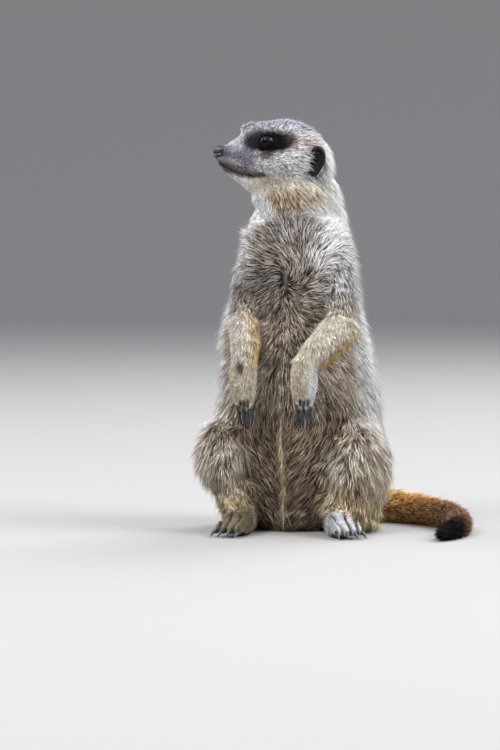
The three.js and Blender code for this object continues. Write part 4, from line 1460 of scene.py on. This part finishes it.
def build_claw(node, material):
    """A claw: ovals carried along its node's own curve, from inside the toe to a point, deeper than wide.
    Their half-width is 0.85 h and their half-depth 1.2 h, with h = CLAW_HALF (1 - t^2.2)^0.7."""
    root, half, tip = claw_stations(node)
    path = curve_through([root - 0.8 * (half - root), root, half, tip], 16)
    t = np.linspace(0, 1, 16)
    wide = CLAW_HALF * (1 - t**2.2) ** 0.7 + 0.04
    across = np.cross(tip - root, UP)
    if np.linalg.norm(across) < 2:
        across = np.array([1.0, 0, 0])
    rings = tube(path, wide * 0.85, wide * 1.2, unit(across), 12)
    rings[..., 2] = np.maximum(rings[..., 2], 0.02)
    dress(node.replace("claw", "nail"), make_mesh(node + "_nail", *loft(rings)), material, "claw", node)


def build_whiskers(material):
    """Fine dark hairs from the whisker pads, each a tapered three-sided rod whose middle line bends back and
    down by length t^2 / 5."""
    rng = np.random.default_rng(77)
    parts = []
    for sign in SIDES.values():
        for _ in range(15):
            ahead, rise = rng.uniform(31, 44), rng.uniform(-3.5, 4.5)
            root = from_head(ahead, sign * np.interp(ahead, [30, 38, 45], [10.5, 7.2, 5.0]), rise)
            way = unit(-FACING * rng.uniform(0.3, 0.9) + sign * LEFTWARD * rng.uniform(0.6, 1.1)
                       + UP * rng.uniform(-0.5, 0.1))
            length = rng.uniform(6, 13)
            t = np.linspace(0, 1, 6)[:, None]
            path = root + length * (t * way + t * t * (0.2 * DOWN - 0.1 * FACING))
            thick = 0.09 * (1 - 0.85 * t[:, 0])
            parts.append(loft(tube(path, thick, thick, UP + 0.1 * FACING, 3)))
    dress("whiskers", make_mesh("whiskers", *joined(parts)), material, "coat_dark")


# ---------------------------------------------------------------- materials


def nodes_of(name, **settings):
    """A new material, with numbers set on its own shader's sockets, and its tree and shader."""
    material = bpy.data.materials.new(name)
    material.use_nodes = True
    tree = material.node_tree
    shader = tree.nodes["Principled BSDF"]
    for socket, value in settings.items():
        shader.inputs[socket.replace("_", " ").title().replace("Ior", "IOR")].default_value = value
    return material, tree, shader


def noise(tree, scale, detail=3.0, rough=0.55):
    """Noise on Object coordinates."""
    place = tree.nodes.new("ShaderNodeTexCoord")
    made = tree.nodes.new("ShaderNodeTexNoise")
    made.inputs["Scale"].default_value = scale
    made.inputs["Detail"].default_value = detail
    made.inputs["Roughness"].default_value = rough
    tree.links.new(place.outputs["Object"], made.inputs["Vector"])
    return made.outputs["Fac"]


NOISE_RANGE = (0.3, 0.7)  # noise seldom leaves it


def ramp(tree, value, low, high, dark, light):
    """Turns low..high of a value into a colour from dark to light."""
    made = tree.nodes.new("ShaderNodeMapRange")
    made.data_type = "FLOAT_VECTOR"
    for socket, number in (("From Min", low), ("From Max", high), ("To Min", dark), ("To Max", light)):
        chosen = [s for s in made.inputs if s.name == socket and s.enabled][0]
        chosen.default_value = (number,) * 3 if isinstance(number, (int, float)) else number
    vector = [s for s in made.inputs if s.name == "Vector" and s.enabled][0]
    tree.links.new(value, vector)
    return made.outputs["Vector"]


def tint(tree, first, second):
    """One colour multiplied by another."""
    made = tree.nodes.new("ShaderNodeMix")
    made.data_type, made.blend_type = "RGBA", "MULTIPLY"
    made.inputs[0].default_value = 1.0
    tree.links.new(first, made.inputs[6])
    tree.links.new(second, made.inputs[7])
    return made.outputs[2]


def roughen(tree, shader, height, strength, distance):
    """Bump from a height."""
    made = tree.nodes.new("ShaderNodeBump")
    made.inputs["Strength"].default_value = strength
    made.inputs["Distance"].default_value = distance * MM
    tree.links.new(height, made.inputs["Height"])
    tree.links.new(made.outputs["Normal"], shader.inputs["Normal"])


def pigment(tree):
    """The colour that a surface carries on its points."""
    made = tree.nodes.new("ShaderNodeAttribute")
    made.attribute_name = "pigment"
    return made.outputs["Color"]


def coloured(name, grain, low, high, painted=True, **settings):
    """A material whose colour goes from low to high with noise of that grain, where painted as shares of
    the surface's own pigment and otherwise as colours of their own."""
    material, tree, shader = nodes_of(name, **settings)
    colour = ramp(tree, noise(tree, *grain), *NOISE_RANGE, low, high)
    if painted:
        colour = tint(tree, pigment(tree), colour)
    tree.links.new(colour, shader.inputs["Base Color"])
    return material, tree, shader


def coat_material():
    return coloured("coat_hair", (900, 2), 0.86, 1.14, roughness=0.66, specular_ior_level=0.15)[0]


def skin_material():
    material, tree, shader = coloured("skin_under_coat", (1400, 4, 0.7), 0.72, 1.25,
                                      roughness=0.78, specular_ior_level=0.08)
    roughen(tree, shader, noise(tree, 1800, 4), 0.7, 0.4)
    return material


def skin_colours(hide):
    """The skin under the coat: between the dark and the light hairs of its place."""
    worn = markings(hide.points, hide.normals, hide.weights)
    return blend(worn[:, :3], worn[:, 3:6], 0.35 + 0.4 * worn[:, 6]) * 0.8


def eye_material():
    return coloured("eye_wet", (2600, 2), 0.85, 1.15, roughness=0.1, specular_ior_level=0.09)[0]


def bare_skin_material():
    """The dark moist edge of the lids."""
    material, tree, shader = coloured("lid_skin", (1500,), (0.002, 0.002, 0.0024), (0.0055, 0.005, 0.006),
                                      painted=False, roughness=0.7, specular_ior_level=0.03)
    roughen(tree, shader, noise(tree, 2600, 4), 0.4, 0.15)
    return material


def pebbles(tree, scale):
    """Rounded cells on Object coordinates."""
    place = tree.nodes.new("ShaderNodeTexCoord")
    made = tree.nodes.new("ShaderNodeTexVoronoi")
    made.inputs["Scale"].default_value = scale
    tree.links.new(place.outputs["Object"], made.inputs["Vector"])
    return made.outputs["Distance"]


def nose_material():
    material, tree, shader = coloured("nose_skin", (700,), 0.8, 1.2, roughness=0.3, specular_ior_level=0.55)
    roughen(tree, shader, pebbles(tree, 2400), 0.5, 0.2)
    return material


def ear_material():
    material, tree, shader = coloured("ear_skin", (900, 4), 0.6, 1.4, roughness=0.7, specular_ior_level=0.15)
    roughen(tree, shader, noise(tree, 1700, 4), 0.7, 0.4)
    return material


def claw_material():
    material, tree, shader = coloured("claw_horn", (420, 4), (0.01, 0.012, 0.018), (0.045, 0.052, 0.066),
                                      painted=False, roughness=0.34, specular_ior_level=0.55)
    roughen(tree, shader, noise(tree, 1500, 3), 0.3, 0.15)
    return material


def whisker_material():
    return coloured("whisker_hair", (300,), (0.012, 0.01, 0.01), (0.05, 0.045, 0.045),
                    painted=False, roughness=0.4)[0]


# ---------------------------------------------------------------- assembly

add_camera()
add_floor()
add_lights()
skin_mesh, skin_weights = build_skin()
hide = Hide(skin_mesh, skin_weights)
paint(skin_mesh, skin_colours(hide))
dress("skin", skin_mesh, skin_material(), "skin", *FLESH_NODES)
grow_coat(hide, coat_material())
wet, edge, shell = eye_material(), bare_skin_material(), ear_material()
for side in SIDES:
    build_eye(side, wet)
    build_lids(side, edge)
    build_ear(side, shell)
build_nose(nose_material())
build_whiskers(whisker_material())
horn = claw_material()
for node in [name for name in NODES if "_claw_" in name]:
    build_claw(node, horn)
